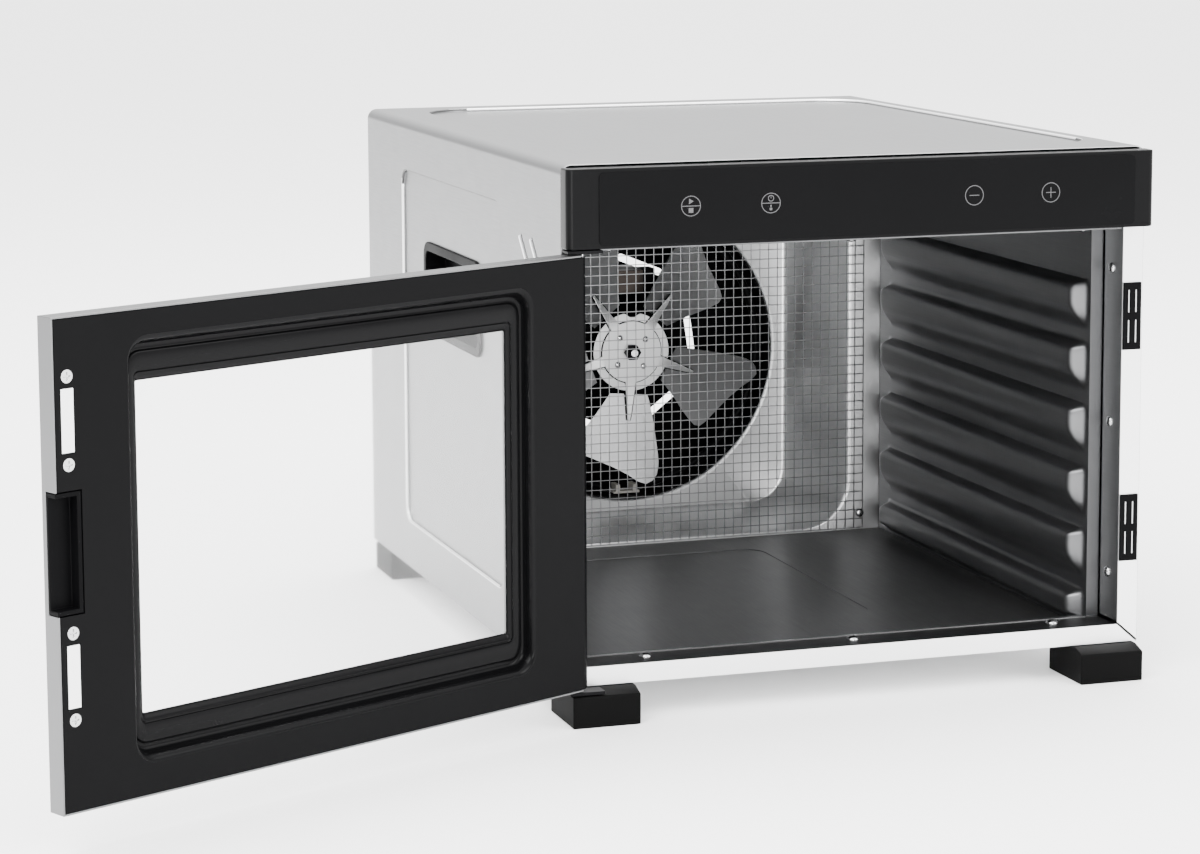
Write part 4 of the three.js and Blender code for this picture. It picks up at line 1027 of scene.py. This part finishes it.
@dataclass
class Chamber:
    """The drying chamber: ribbed walls, floor, ceiling, plenum panel, wire guard and their screws.

    Attributes:
        finishes: The finishes.
        wall: Distance from the centre line to each wall.
        front: Where the walls begin.
        rear: Where the walls end.
        floor: The floor's height.
        top: The ceiling's height.
        rib_depth: How far the ribs stand in.
        rib_pitch: Height from one rib to the next.
        rib_top: Height of the first rib's upper edge.
        guard_half: Half the guard's width.
        guard_front: The guard's distance behind the case's front.
        wire_pitch: Distance between wires.
        wire_radius: The wires' radius.
        opening: The fan opening's radius.
        fan_height: The fan's centre height.
        sheet: The sheet's thickness.
        hinge_margin: Flat wall ahead of the ribs on the hinge side.
        slope_lean: The sideways or upward lean past which a face takes the bright copy of the plenum steel, painted
            light on its slopes.
    """

    finishes: Finishes
    wall: float = 150.0
    front: float = 25.0
    rear: float = 331.2
    floor: float = 3.3
    top: float = 234.6
    rib_depth: float = 9.0
    rib_pitch: float = 35.8
    rib_top: float = 203.5
    guard_half: float = 139.0
    guard_front: float = 330.9
    wire_pitch: float = 6.05
    wire_radius: float = 0.3
    opening: float = 99.0
    fan_height: float = 118.5
    sheet: float = 0.9
    hinge_margin: float = 18.0
    slope_lean: float = 0.35

    def build(self) -> None:
        """Make and dress every piece of the chamber."""
        # The ceiling's finish is the darker copy of the chamber steel: painted shade.
        for node, finish in (("chamber_floor", "floor_steel"), ("chamber_ceiling", "painted_shade_chamber_steel")):
            eased(node, self.finishes[finish], Body.CABINET, 0.3)
        for side in (-1, 1):
            self.ribbed_wall(side)
        self.sill()
        self.plenum()
        self.guard()
        self.screws()

    def ribbed_wall(self, side: int) -> None:
        """Make one ribbed wall with its front flange.

        Args:
            side: 1 for the right wall, -1 for the left.
        """
        name = "chamber_wall_right" if side > 0 else "chamber_wall_left"
        length, height = self.rear - self.front, self.top - self.floor
        middle = (self.front + self.rear) / 2
        mirror = Matrix.Diagonal((side, 1.0, 1.0, 1.0))
        lift = Matrix.Translation((self.wall, middle, self.floor))
        matrix = PLACES.cabinet() @ mirror @ lift
        # The right wall takes the darker copy of the chamber steel as painted shade, the left wall the lighter copy
        # as painted light.
        finish = self.finishes["painted_shade_chamber_steel" if side > 0 else "painted_light_chamber_steel"]
        piece = ribbed_wall_recipe().grow(
            name + "_ribs", matrix, finish, Length=length, Height=height,
            Rib_Depth=self.rib_depth, Rib_Pitch=self.rib_pitch, Rib_Top=self.rib_top - self.floor,
            Front_Margin=2.5 if side > 0 else self.hinge_margin, Rear_Margin=16.0, Ramp=5.5, Columns=150, Rows=180)
        shape = bmesh.new()
        shape.from_mesh(piece.data)
        centre = PLACES.cabinet() @ Vector((0.0, middle, self.top / 2))
        facing = sum((f.normal.x * (centre.x - f.calc_center_median().x)) for f in shape.faces)
        if facing < 0.0:
            bmesh.ops.reverse_faces(shape, faces=shape.faces)
        shape.to_mesh(piece.data)
        shape.free()
        thickened(piece, self.sheet, False)
        smooth(piece.data, 50.0)
        settle(piece, Body.CABINET, (name,))
        self.front_flange(side, name)

    def sill(self) -> None:
        """Make a painted shadow on the sill behind the bottom rail, a painted highlight along its rear edge and the
        lines in the mitres.
        """
        half, low = 157.0, 9.6
        # The near-black strip on the sill is painted shadow; the polished strip at its rear is a painted highlight.
        for name, finish, y0, y1, top in (
                ("sill_painted_shadow", "floor_shadow", 1.3, 23.2, 10.25), ("sill_painted_highlight", "polished_steel", 23.2, 24.0, 10.7)):
            outline = [(-half, low), (half, low), (half, top), (-half, top)]
            drawn(name, prism(outline, y0, y1), self.finishes[finish], Body.CABINET)
        lines = []
        for side in (-1.0, 1.0):
            outline = [(side * 157.6, 10.6), (side * 158.4, 11.2), (side * 169.7, 1.4), (side * 169.7, 0.3)]
            lines.append(prism(outline, -0.12, 0.5))
        drawn("mitre_lines", gathered(lines), self.finishes["black_oxide"], Body.CABINET)

    def front_flange(self, side: int, name: str) -> None:
        """Make the flat flange that closes the gap between a wall and its post.

        Args:
            side: 1 for the right wall, -1 for the left.
            name: The wall's name.
        """
        inner, outer, low, front = side * self.wall, side * 157.3, 10.4, 24.0
        outline = [(inner, low), (outer, low), (outer, self.top), (inner, self.top)]
        # The flange takes the darker copy of the chamber steel: painted shade.
        drawn(name + "_flange", prism(outline, front, front + self.sheet), self.finishes["painted_shade_chamber_steel"],
              Body.CABINET)

    def plenum(self) -> None:
        """Make the deep-drawn rear panel: flange, rounded rim, sloping wall, flat panel and fan opening."""
        flange = spread(rounded_outline(-158.0, 158.0, 1.4, 251.0, 1.0), 240)
        stations: list[tuple[list[Flat], float]] = [(flange, 332.0)]
        rim = (-130.5, 130.5, 5.0, 232.0, 32.0)
        base = (-107.0, 107.0, 12.5, 224.5, 22.0)
        for share, depth in ((0.0, 332.0), (0.06, 332.35), (0.12, 333.6), (0.18, 336.0), (0.80, 391.0),
                             (0.86, 394.9), (0.93, 397.3), (1.0, 398.0)):
            mixed = [a + (b - a) * share for a, b in zip(rim, base)]
            stations.append((spread(rounded_outline(*mixed), 240), depth))
        inner = stations[-1][0]
        for radius, depth in ((self.opening + 3.0, 398.0), (self.opening + 0.9, 398.3), (self.opening, 399.4),
                              (self.opening, 402.5)):
            ring = []
            for x, z in inner:
                turn = math.atan2(z - self.fan_height, x)
                ring.append((radius * math.cos(turn), self.fan_height + radius * math.sin(turn)))
            stations.append((ring, depth))
        count = len(flange)
        points = [(x, y, z) for outline, y in stations for x, z in outline]
        faces = ring_faces(len(stations), count, False)
        mesh = mesh_of("plenum_skin", points, faces, PLACES.cabinet())
        piece = show("plenum_skin", mesh, self.finishes["plenum_steel"])
        self.face_front(piece)
        thickened(piece, self.sheet, False)
        smooth(piece.data, 50.0)
        # Faces that lean sideways or upward take the bright copy of the plenum steel as painted light.
        piece.data.materials.append(self.finishes["painted_light_plenum_slope"])
        for face in piece.data.polygons:
            if max(abs(face.normal.x), face.normal.z) > self.slope_lean:
                face.material_index = 1
        settle(piece, Body.CABINET, ("plenum_panel",))

    @staticmethod
    def face_front(piece: bpy.types.Object) -> None:
        """Turn an open sheet's faces towards the doorway.

        Args:
            piece: The sheet.
        """
        shape = bmesh.new()
        shape.from_mesh(piece.data)
        if sum(face.normal.y * face.calc_area() for face in shape.faces) > 0.0:
            bmesh.ops.reverse_faces(shape, faces=shape.faces)
        shape.to_mesh(piece.data)
        shape.free()

    def guard(self) -> None:
        """Make the wire guard over the plenum."""
        low, high = 4.2, 232.6
        width = 2 * self.guard_half - 1.0
        matrix = PLACES.cabinet() @ Matrix.Translation((0.0, self.guard_front, (low + high) / 2))
        piece = wire_grid_recipe().grow(
            "guard_wires", matrix, self.finishes["guard_wire"], Width=width, Height=high - low,
            Columns=round(width / self.wire_pitch) + 1, Rows=round((high - low) / self.wire_pitch) + 1,
            Wire_Radius=self.wire_radius)
        settle(piece, Body.CABINET, ("mesh_guard",))

    def screws(self) -> None:
        """Make the dome screws on the sill, the posts, the ceiling and the guard."""
        domes = dome_recipe()
        upward, sideways, forward = (0.0, 0.0, 0.0), (0.0, math.pi / 2, 0.0), (math.pi / 2, 0.0, 0.0)
        sill = [(x, 15.0, 10.2) for x in (-118.5, 3.0, 124.5)]
        posts = [(side * 157.4, 13.0, z) for side in (-1, 1) for z in (38.2, 124.5, 211.9)]
        ceiling = [(x, 14.0, 234.9) for x in (-139.2, 0.0, 139.2)]
        guard = [(x, 329.9, z) for x in (-136.0, 136.0) for z in (14.0, 222.0)]
        for name, spots, radius, height, facing, nodes in (
                ("sill_screws", sill, 3.5, 2.2, upward, ("sill_screw_1", "sill_screw_2", "sill_screw_3")),
                ("post_screws", posts, 3.2, 1.9, sideways, ()),
                ("ceiling_screws", ceiling, 3.2, 2.4, upward, ()),
                ("guard_screws", guard, 2.8, 1.4, forward, ())):
            piece = domes.grow(name, PLACES.cabinet(), self.finishes["polished_steel"], spots,
                               Radius=radius, Height=height, Facing=facing)
            settle(piece, Body.CABINET, nodes)


@dataclass
class AirSystem:
    """The fan, its motor, the heater and the probe.

    Attributes:
        finishes: The finishes.
        plane: The hub's rear face.
        centre: The fan's centre height.
        slope: How far a blade leans back across its width.
        first: The first blade's angle.
        blades: The number of blades.
        notch: The direction of the notch in the hub plate.
        camber: How far the blades bow forward.
        plate: The hub plate's radius.
        notch_depth: The notch's depth.
        centre_disc: The raised centre's radius.
        rivet_circle: The radius of the circle that the rivets stand on.
    """

    finishes: Finishes
    plane: float = 397.0
    centre: float = 118.5
    slope: float = -0.32
    first: float = -20.0
    blades: int = 5
    notch: float = 88.0
    camber: float = 0.9
    plate: float = 26.0
    notch_depth: float = 3.0
    centre_disc: float = 20.3
    rivet_circle: float = 12.6

    def build(self) -> None:
        """Make the blades and rivets and dress the rest."""
        for index in range(self.blades):
            self.blade(index)
        self.hub()
        self.rivets()
        for node, finish, slot, body in (
                ("fan_nut", "black_oxide", "bright_steel", Body.FAN),
                ("motor_shaft", "polished_steel", "bright_steel", Body.FAN),
                ("motor_rotor", "black_oxide", "dark_steel", Body.FAN),
                ("fan_shroud", "black_oxide", "dark_steel", Body.CABINET),
                ("motor_stator", "black_oxide", "dark_steel", Body.CABINET),
                ("motor_coil", "winding_copper", "copper", Body.CABINET),
                ("motor_bracket", "black_oxide", "steel", Body.CABINET),
                ("motor_front_bearing", "black_oxide", "steel", Body.CABINET),
                ("heater_element", "black_oxide", "dark_steel", Body.CABINET),
                ("heater_holder", "ceramic", "ceramic", Body.CABINET),
                ("thermal_cutout", "cup_plastic", "black_plastic", Body.CABINET),
                ("temperature_probe", "polished_steel", "bright_steel", Body.CABINET)):
            eased(node, self.finishes[finish], body, 0.3)

    def on_arm(self, u: float, v: float, y: float, angle: float) -> Point:
        """Return the place of a point given along and across a blade.

        Args:
            u: Distance out from the shaft.
            v: Distance across the blade.
            y: Distance to the rear.
            angle: The blade's angle in degrees.

        Returns:
            The point in the cabinet's frame.
        """
        turn = math.radians(angle)
        x = u * math.cos(turn) - v * math.sin(turn)
        z = u * math.sin(turn) + v * math.cos(turn)
        return x, y + v * self.slope, z + self.centre

    def blade(self, index: int) -> None:
        """Make one pressed blade: a broad paddle with a slight hollow across it.

        Args:
            index: The blade's number from 0.
        """
        lower = [(28.5, -12.0), (34.0, -15.2), (42.0, -20.4), (50.0, -26.2), (57.0, -30.8), (62.5, -33.6),
                 (66.5, -33.4), (69.5, -28.8), (73.0, -20.0), (77.5, -9.0), (82.5, 0.8), (86.5, 6.8)]
        upper = [(28.5, 11.6), (34.0, 13.2), (42.0, 14.9), (50.0, 16.3), (57.0, 17.3), (62.5, 18.2),
                 (67.0, 18.9), (71.5, 19.4), (76.5, 19.5), (81.5, 18.6), (85.5, 16.2), (88.2, 12.0)]
        rows = 9
        angle = self.first + index * 360.0 / self.blades
        points: list[Point] = []
        for (u0, v0), (u1, v1) in zip(lower, upper):
            for row in range(rows):
                share = row / (rows - 1)
                u, v = u0 + (u1 - u0) * share, v0 + (v1 - v0) * share
                hollow = self.camber * (v * v + 12.0 * (u - 28.5)) / 400.0
                points.append(self.on_arm(u, v, self.plane + 1.2 - hollow, angle))
        faces = []
        for i in range(len(lower) - 1):
            for row in range(rows - 1):
                a = i * rows + row
                faces.append((a, a + 1, a + rows + 1, a + rows))
        name = f"fan_blade_{index + 1}"
        piece = show(name + "_finish", mesh_of(name, points, faces, PLACES.cabinet()), self.finishes["fan_aluminium"])
        Chamber.face_front(piece)
        thickened(piece, 1.0, False)
        smooth(piece.data, 50.0)
        settle(piece, Body.FAN, (name,))

    def disc(self, radii: Sequence[float], y0: float, y1: float) -> Drawing:
        """Return a flat disc about the shaft, with an outline of evenly spread radii.

        Args:
            radii: The radius in each direction, anticlockwise from the right.
            y0: The front face.
            y1: The rear face.

        Returns:
            The points and the faces.
        """
        count = len(radii)
        outline = []
        for i, radius in enumerate(radii):
            turn = 2 * math.pi * i / count
            outline.append((radius * math.cos(turn), self.centre + radius * math.sin(turn)))
        return prism(outline, y0, y1)

    def arm(self, angle: float, grow: float = 0.0, sink: float = 0.0) -> Drawing:
        """Return one pressed arm, which narrows and twists to its blade.

        Args:
            angle: The arm's angle in degrees.
            grow: Extra half-width, for the black line round the arm, painted shade in its pressed groove.
            sink: How far the shape lies behind the arm's own place.

        Returns:
            The points and the faces.
        """
        rings = []
        for u, width, near, share in ((19.2, 3.5, -2.66, 0.0), (20.6, 3.5, -2.66, 0.0), (24.0, 3.2, -2.5, 0.3),
                                      (28.0, 2.7, -2.2, 0.8), (33.0, 2.2, -2.0, 1.0), (40.0, 1.5, -1.9, 1.0),
                                      (46.0, 0.8, -1.4, 1.0)):
            ring = []
            half, front = width + grow, near + sink
            for v, y in ((-half, front + 1.1), (-half, front + 0.25), (-half + 0.3, front), (half - 0.3, front),
                         (half, front + 0.25), (half, front + 1.1)):
                x, _, z = self.on_arm(u, v, 0.0, angle)
                ring.append((x, self.plane + y + v * self.slope * share, z))
            rings.append(ring)
        count = len(rings[0])
        points = [point for ring in rings for point in ring]
        faces = ring_faces(len(rings), count, False)
        faces += [tuple(range(count)), tuple(range(len(points) - 1, len(points) - count - 1, -1))]
        return points, faces

    def hub(self) -> None:
        """Make the hub: a notched plate under a raised round centre with five arms."""
        steps = 120
        plate = []
        for i in range(steps):
            off = (i * 360.0 / steps - self.notch + 180.0) % 360.0 - 180.0
            plate.append(self.plate - self.notch_depth * math.exp(-((off / 9.0) ** 4)))
        front = self.plane - 1.5
        boss = self.disc([6.4] * 24, self.plane - 0.5, self.plane + 8.0)
        raised = self.disc([self.centre_disc] * 60, front - 1.2, front - 0.1)
        turns = [self.first + i * 360.0 / self.blades for i in range(self.blades)]
        parts = [self.disc(plate, front, self.plane - 0.3), raised, boss, *(self.arm(turn) for turn in turns)]
        # A black copy of the raised centre and arms, a little wider and sunk behind them, shows as a dark line round
        # their outline: painted shade in the pressed groove.
        groove = [self.disc([self.centre_disc + 0.7] * 60, front - 0.45, front - 0.1)]
        groove += [self.arm(turn, 0.65, 1.0) for turn in turns]
        drawn("hub_groove_painted_shade", gathered(groove), self.finishes["black_oxide"], Body.FAN)
        mesh = mesh_of("fan_spider", *gathered(parts), PLACES.cabinet())
        piece = show("fan_spider", mesh, self.finishes["hub_aluminium"])
        self.ease(piece, 0.28)
        settle(piece, Body.FAN, ("fan_hub",))

    @staticmethod
    def ease(piece: bpy.types.Object, width: float) -> None:
        """Round a piece's sharp edges.

        Args:
            piece: The piece.
            width: The easing's width in millimetres.
        """
        bevel = piece.modifiers.new("ease", "BEVEL")
        bevel.width = width * MM
        bevel.segments = 2
        bevel.limit_method = "ANGLE"
        bevel.angle_limit = math.radians(40.0)
        bake(piece)
        smooth(piece.data, 40.0)
        flatten_faces(piece)

    def rivets(self) -> None:
        """Make the hub's rivets."""
        spots: list[Point] = []
        reach = self.rivet_circle
        for turn in (40.0, 130.0, 220.0, 310.0):
            angle = math.radians(turn)
            spots.append((reach * math.cos(angle), self.plane - 2.7, self.centre + reach * math.sin(angle)))
        piece = dome_recipe().grow(
            "fan_rivets", PLACES.cabinet(), self.finishes["polished_steel"], spots, Radius=2.1, Height=1.0,
            Facing=(math.pi / 2, 0.0, 0.0))
        settle(piece, Body.FAN)


@dataclass
class ControlHead:
    """The black head over the doorway with its touch panel and symbols.

    Attributes:
        finishes: The finishes.
        face: The touch panel's front.
        height: The symbols' height.
        ring: The symbols' ring radius.
        line: The symbols' line width.
    """

    finishes: Finishes
    face: float = -12.6
    height: float = 258.4
    ring: float = 5.5
    line: float = 0.42

    def build(self) -> None:
        """Make the head and print its symbols."""
        for node, finish, slot, width in (
                ("bezel", "head_plastic", "black_plastic", 0.7),
                ("touch_panel", "touch_gloss", "gloss_black", 0.15),
                ("display_module", "touch_gloss", "gloss_black", 0.3),
                ("control_board", "circuit_board", "board", 0.2),
                ("power_board", "circuit_board", "board", 0.4)):
            eased(node, self.finishes[finish], Body.CABINET, width)
        for name, x, parts in (
                ("symbol_run", -101.7, self.run_mark()), ("symbol_set", -56.6, self.set_mark()),
                ("symbol_less", 61.3, self.bars(False)), ("symbol_more", 106.9, self.bars(True))):
            self.symbol(name, x, [self.circle_line(self.ring), *parts])

    def symbol(self, name: str, x: float, outlines: Sequence[Sequence[Sequence[Flat]]]) -> None:
        """Print one symbol.

        Args:
            name: The piece's name.
            x: The symbol's place across the head.
            outlines: Shapes: one outline, or an outer and an inner one.
        """
        drawings = []
        for shape in outlines:
            moved = [[(a + x, b + self.height) for a, b in outline] for outline in shape]
            if len(moved) == 1:
                drawings.append(prism(moved[0], self.face - 0.05, self.face + 0.02))
            else:
                drawings.append(self.band(moved[0], moved[1]))
        drawn(name, gathered(drawings), self.finishes["symbol_ink"], Body.CABINET)

    def band(self, outer: Sequence[Flat], inner: Sequence[Flat]) -> Drawing:
        """Return a closed band between two outlines.

        Args:
            outer: The outer outline.
            inner: The inner outline.

        Returns:
            The points and the faces.
        """
        front, rear = self.face - 0.05, self.face + 0.02
        rings = [[(x, front, z) for x, z in outer], [(x, front, z) for x, z in inner],
                 [(x, rear, z) for x, z in inner], [(x, rear, z) for x, z in outer]]
        return [point for ring in rings for point in ring], ring_faces(4, len(outer), True)

    def circle_line(self, radius: float, steps: int = 48) -> list[list[Flat]]:
        """Return the outer and inner outlines of a circle drawn as a line."""
        return [[(r * math.cos(2 * math.pi * i / steps), r * math.sin(2 * math.pi * i / steps))
                 for i in range(steps)] for r in (radius, radius - self.line)]

    def bar(self, x0: float, x1: float, z0: float, z1: float) -> list[list[Flat]]:
        """Return a plain bar."""
        return [[(x0, z0), (x1, z0), (x1, z1), (x0, z1)]]

    def bars(self, upright: bool) -> list[list[list[Flat]]]:
        """Return a minus, or a plus.

        Args:
            upright: True for a plus.

        Returns:
            The shapes.
        """
        half, arm = self.line / 2, 2.9
        shapes = [self.bar(-arm, arm, -half, half)]
        if upright:
            shapes += [self.bar(-half, half, half, arm), self.bar(-half, half, -arm, -half)]
        return shapes

    def divider(self) -> list[list[Flat]]:
        """Return the level line across a symbol's ring."""
        half, reach = self.line / 2, self.ring - self.line
        return self.bar(-reach, reach, -half, half)

    def run_mark(self) -> list[list[list[Flat]]]:
        """Return a divider with a start triangle over a stop square."""
        return [self.divider(), [[(-1.1, 1.0), (1.5, 2.5), (-1.1, 4.0)]], self.bar(-1.3, 1.3, -3.6, -1.0)]

    def set_mark(self) -> list[list[list[Flat]]]:
        """Return a divider with a clock over a thermometer."""
        dial = [[(a, b + 2.55) for a, b in outline] for outline in self.circle_line(1.75, 24)]
        hand = self.bar(-0.15, 0.15, 2.4, 3.7)
        stem = self.bar(-0.35, 0.35, -2.6, -0.9)
        bulb = [[(0.85 * math.cos(i * math.pi / 8), -3.1 + 0.85 * math.sin(i * math.pi / 8)) for i in range(16)]]
        return [self.divider(), dial, hand, stem, bulb]


@dataclass
class Hardware:
    """Hinge plates and magnetic catches.

    Attributes:
        finishes: The finishes.
        catch_x: The catches' place across the doorway.
        catch_heights: The catches' heights.
    """

    finishes: Finishes
    catch_x: float = 163.4
    catch_heights: tuple[float, float] = (65.8, 186.0)

    def build(self) -> None:
        """Make the hinge plates, the catches and their pole strips."""
        for node, finish, slot in (
                ("hinge_bottom", "black_oxide", "dark_steel"), ("hinge_top", "black_oxide", "dark_steel"),
                ("magnet_catch_lower", "cup_plastic", "black_plastic"),
                ("magnet_catch_upper", "cup_plastic", "black_plastic")):
            eased(node, self.finishes[finish], Body.CABINET, 0.25)
        strips = strip_recipe()
        for name, z in zip(("poles_lower", "poles_upper"), self.catch_heights):
            matrix = PLACES.cabinet() @ Matrix.Translation((self.catch_x, -0.75, z))
            piece = strips.grow(name, matrix, self.finishes["polished_steel"], Spread_X=4.4, Spread_Z=17.0,
                                Strip=(0.6, 0.4, 12.6))
            settle(piece, Body.CABINET)


@dataclass
class Door:
    """The glazed door, drawn shut.

    Attributes:
        finishes: The finishes.
        step: The recess's outline as x0, x1, z0, z1 and corner radius.
        window: The clear opening's outline in the same way.
        pane: The glass's front and rear faces.
        cut: How far the window's cutter reaches in front and behind.
    """

    finishes: Finishes
    step: tuple[float, ...] = (-130.3, 126.7, 16.5, 221.5, 12.0)
    window: tuple[float, ...] = (-116.8, 117.1, 38.5, 199.5, 1.2)
    pane: Flat = (-11.2, -9.6)
    cut: Flat = (-30.0, 12.0)

    def build(self) -> None:
        """Make and dress every piece of the door."""
        for node, finish, slot, width in (
                ("door_pull", "cup_plastic", "black_plastic", 0.4),
                ("strike_plate_lower", "bright_steel_and_painted_highlight", "bright_steel", 0.25),
                ("strike_plate_upper", "bright_steel_and_painted_highlight", "bright_steel", 0.25)):
            eased(node, self.finishes[finish], Body.DOOR, width)
        for index in range(4):
            node = f"door_screw_{index + 1}"
            eased(node, self.finishes["polished_steel"], Body.DOOR, 0.12)
        self.panel("door_skin", 0.3, 0.98, "door_steel")
        self.panel("door_frame", 0.5, 0.0, "door_plastic")
        self.surround()
        self.glass()

    def between(self, share: float) -> list[Flat]:
        """Return the outline at a share from 0, the recess's edge, to 1, the window's."""
        return rounded_outline(*(a + (b - a) * share for a, b in zip(self.step, self.window)))

    def cut_out(self, piece: bpy.types.Object, share: float) -> None:
        """Cut the recess's outline out of a door piece.

        Args:
            piece: The piece.
            share: Which outline to cut, as in between().
        """
        drawing = prism(self.between(share), *self.cut)
        cutter = show("cutter", mesh_of("cutter", *drawing, PLACES.door()), self.finishes["door_plastic"])
        cut = piece.modifiers.new("opening", "BOOLEAN")
        cut.operation = "DIFFERENCE"
        cut.object = cutter
        cut.solver = "EXACT"
        bake(piece)
        bpy.data.objects.remove(cutter)
        smooth(piece.data, 40.0)
        flatten_faces(piece)

    def panel(self, node: str, ease: float, share: float, finish: str) -> None:
        """Make the steel outer skin or the moulded inner frame, cut away at the window.

        Args:
            node: The CAD node that it stands for.
            ease: The easing of its edges.
            share: Which outline to cut, as in between().
            finish: The finish's name.
        """
        piece = show(node + "_finish", softened(node, ease), self.finishes[finish])
        self.cut_out(piece, share)
        piece.data.materials.clear()
        piece.data.materials.append(self.finishes[finish])
        settle(piece, Body.DOOR, (node,))

    def loop(self, name: str, profile: Sequence[Flat], finish: str,
             nodes: Sequence[str] = ()) -> bpy.types.Object:
        """Sweep a profile round the window.

        Args:
            name: The piece's name.
            profile: Points as a share from recess to window, and a depth.
            finish: The finish's name.
            nodes: CAD nodes that the piece replaces.

        Returns:
            The piece.
        """
        points = [(x, y, z) for share, y in profile for x, z in self.between(share)]
        faces = ring_faces(len(profile), len(points) // len(profile), True)
        piece = show(name, mesh_of(name, points, faces, PLACES.door()), self.finishes[finish])
        smooth(piece.data, 50.0)
        return settle(piece, Body.DOOR, nodes)

    def surround(self) -> None:
        """Make the recess round the window: rolled lip, deep groove, flat ledge and seal."""
        profile = (
            (0.002, -1.50), (0.04, -1.58), (0.08, -1.85), (0.12, -2.45), (0.15, -3.4), (0.17, -4.8),
            (0.185, -6.6), (0.21, -8.3), (0.25, -9.0), (0.33, -9.1), (0.365, -8.9), (0.38, -8.0),
            (0.392, -7.6), (0.42, -7.45), (0.78, -7.45), (0.80, -7.6), (0.812, -8.5), (0.835, -8.7),
            (0.85, -8.2), (0.90, -8.3), (0.98, -9.0), (1.0, -9.35), (1.0, -9.55), (0.002, -9.55))
        self.loop("door_surround", profile, "bead_plastic")
        self.loop("pane_seal", ((0.97, -9.5), (1.015, -9.3), (1.03, -9.55)), "foot_rubber",
                  ("glass_seal",))

    def glass(self) -> None:
        """Make the pane."""
        mesh = mesh_of("pane", *prism(self.between(0.75), *self.pane), PLACES.door())
        mesh.shade_flat()
        piece = show("door_glass_finish", mesh, self.finishes["door_pane"])
        settle(piece, Body.DOOR, ("door_glass",))


# ---------------------------------------------------------------- stage, light and camera

@dataclass
class Studio:
    """The floor, the lamps and the camera.

    Attributes:
        finishes: The finishes.
        lens: The camera's focal length for a 36 mm sensor.
        shift: The camera's vertical shift.
        station: The camera's place in cabinet millimetres.
        yaw: The camera's turn to the right from straight ahead, in degrees.
        pitch: Its tilt down, in degrees.
        roll: Its roll, in degrees.
        horizon: The room's light at eye level.
        zenith: The room's light overhead.
    """

    finishes: Finishes
    lens: float = 99.376
    shift: float = -0.1
    station: Point = (-679.22, -1654.67, 438.94)
    yaw: float = 17.7876
    pitch: float = 7.6620
    roll: float = -0.2630
    horizon: float = 1.3
    zenith: float = 4.2

    def build(self) -> None:
        """Set the stage."""
        self.floor()
        self.camera()
        self.world()
        for lamp in (
                ("key", (-1.6, -1.5, 2.3), (0.1, 0.0, 0.15), (1.8, 1.4), 110.0),
                ("fill", (1.9, -1.9, 1.3), (0.1, 0.0, 0.2), (1.4, 1.4), 55.0),
                ("top", (0.2, 0.7, 2.4), (0.15, 0.1, 0.2), (1.8, 1.6), 90.0),
                ("chamber", (-0.30, -1.85, 0.36), (0.2, 0.22, 0.12), (0.5, 0.4), 20.0)):
            self.lamp(*lamp)

    def floor(self) -> None:
        """Make the pale floor."""
        reach = 30.0
        mesh = bpy.data.meshes.new("stage_floor")
        mesh.from_pydata([(-reach, -reach, 0.0), (reach, -reach, 0.0), (reach, reach, 0.0), (-reach, reach, 0.0)],
                         [], [(0, 1, 2, 3)])
        show("stage_floor", mesh, self.finishes["stage_floor"])

    def camera(self) -> None:
        """Place the camera."""
        yaw, pitch, roll = (math.radians(a) for a in (self.yaw, self.pitch, self.roll))
        ahead = Vector((math.sin(yaw) * math.cos(pitch), math.cos(yaw) * math.cos(pitch), -math.sin(pitch)))
        right = Vector((math.cos(yaw), -math.sin(yaw), 0.0))
        up = right.cross(ahead)
        side = right * math.cos(roll) + up * math.sin(roll)
        top = up * math.cos(roll) - right * math.sin(roll)
        turn = Matrix((side, top, -ahead)).transposed().to_4x4()
        data = bpy.data.cameras.new("camera")
        data.sensor_width = 36.0
        data.lens = self.lens
        data.shift_y = self.shift
        data.clip_start = 0.05
        data.clip_end = 100.0
        camera = bpy.data.objects.new("camera", data)
        camera.matrix_world = Matrix.Translation(PLACES.cabinet() @ Vector(self.station)) @ turn
        bpy.context.scene.collection.objects.link(camera)
        bpy.context.scene.camera = camera

    def world(self) -> None:
        """Fill the room with soft even light."""
        world = bpy.data.worlds.new("studio")
        world.use_nodes = True
        sky = world.node_tree.nodes["Background"]
        sky.inputs["Color"].default_value = (1.0, 1.0, 1.0, 1.0)
        nodes, links = world.node_tree.nodes, world.node_tree.links
        direction = nodes.new("ShaderNodeTexCoord")
        split = nodes.new("ShaderNodeSeparateXYZ")
        links.new(direction.outputs["Generated"], split.inputs[0])
        rise = nodes.new("ShaderNodeMapRange")
        rise.interpolation_type = "SMOOTHSTEP"
        for name, value in (("From Min", 0.05), ("From Max", 0.75),
                            ("To Min", self.horizon), ("To Max", self.zenith)):
            rise.inputs[name].default_value = value
        links.new(split.outputs["Z"], rise.inputs["Value"])
        links.new(rise.outputs["Result"], sky.inputs["Strength"])
        bpy.context.scene.world = world

    def lamp(self, name: str, place: Point, target: Point, size: Flat, power: float) -> None:
        """Hang one soft box.

        Args:
            name: The lamp's name.
            place: Where it hangs, in metres.
            target: What it points at.
            size: Its width and height in metres.
            power: Its power in watts.
        """
        data = bpy.data.lights.new(name, "AREA")
        data.shape = "RECTANGLE"
        data.size, data.size_y = size
        data.energy = power
        lamp = bpy.data.objects.new(name, data)
        aim = Vector(target) - Vector(place)
        lamp.matrix_world = Matrix.Translation(place) @ aim.to_track_quat("-Z", "Y").to_matrix().to_4x4()
        bpy.context.scene.collection.objects.link(lamp)


def main() -> None:
    """Build every sub-assembly, dress it and set the stage."""
    logging.basicConfig(level=logging.INFO, format="%(name)s %(message)s")
    finishes = Finishes()
    for assembly in (Studio(finishes), Shell(finishes), Chamber(finishes), AirSystem(finishes),
                     ControlHead(finishes), Hardware(finishes), Door(finishes)):
        assembly.build()


if __name__ == "__main__":
    main()
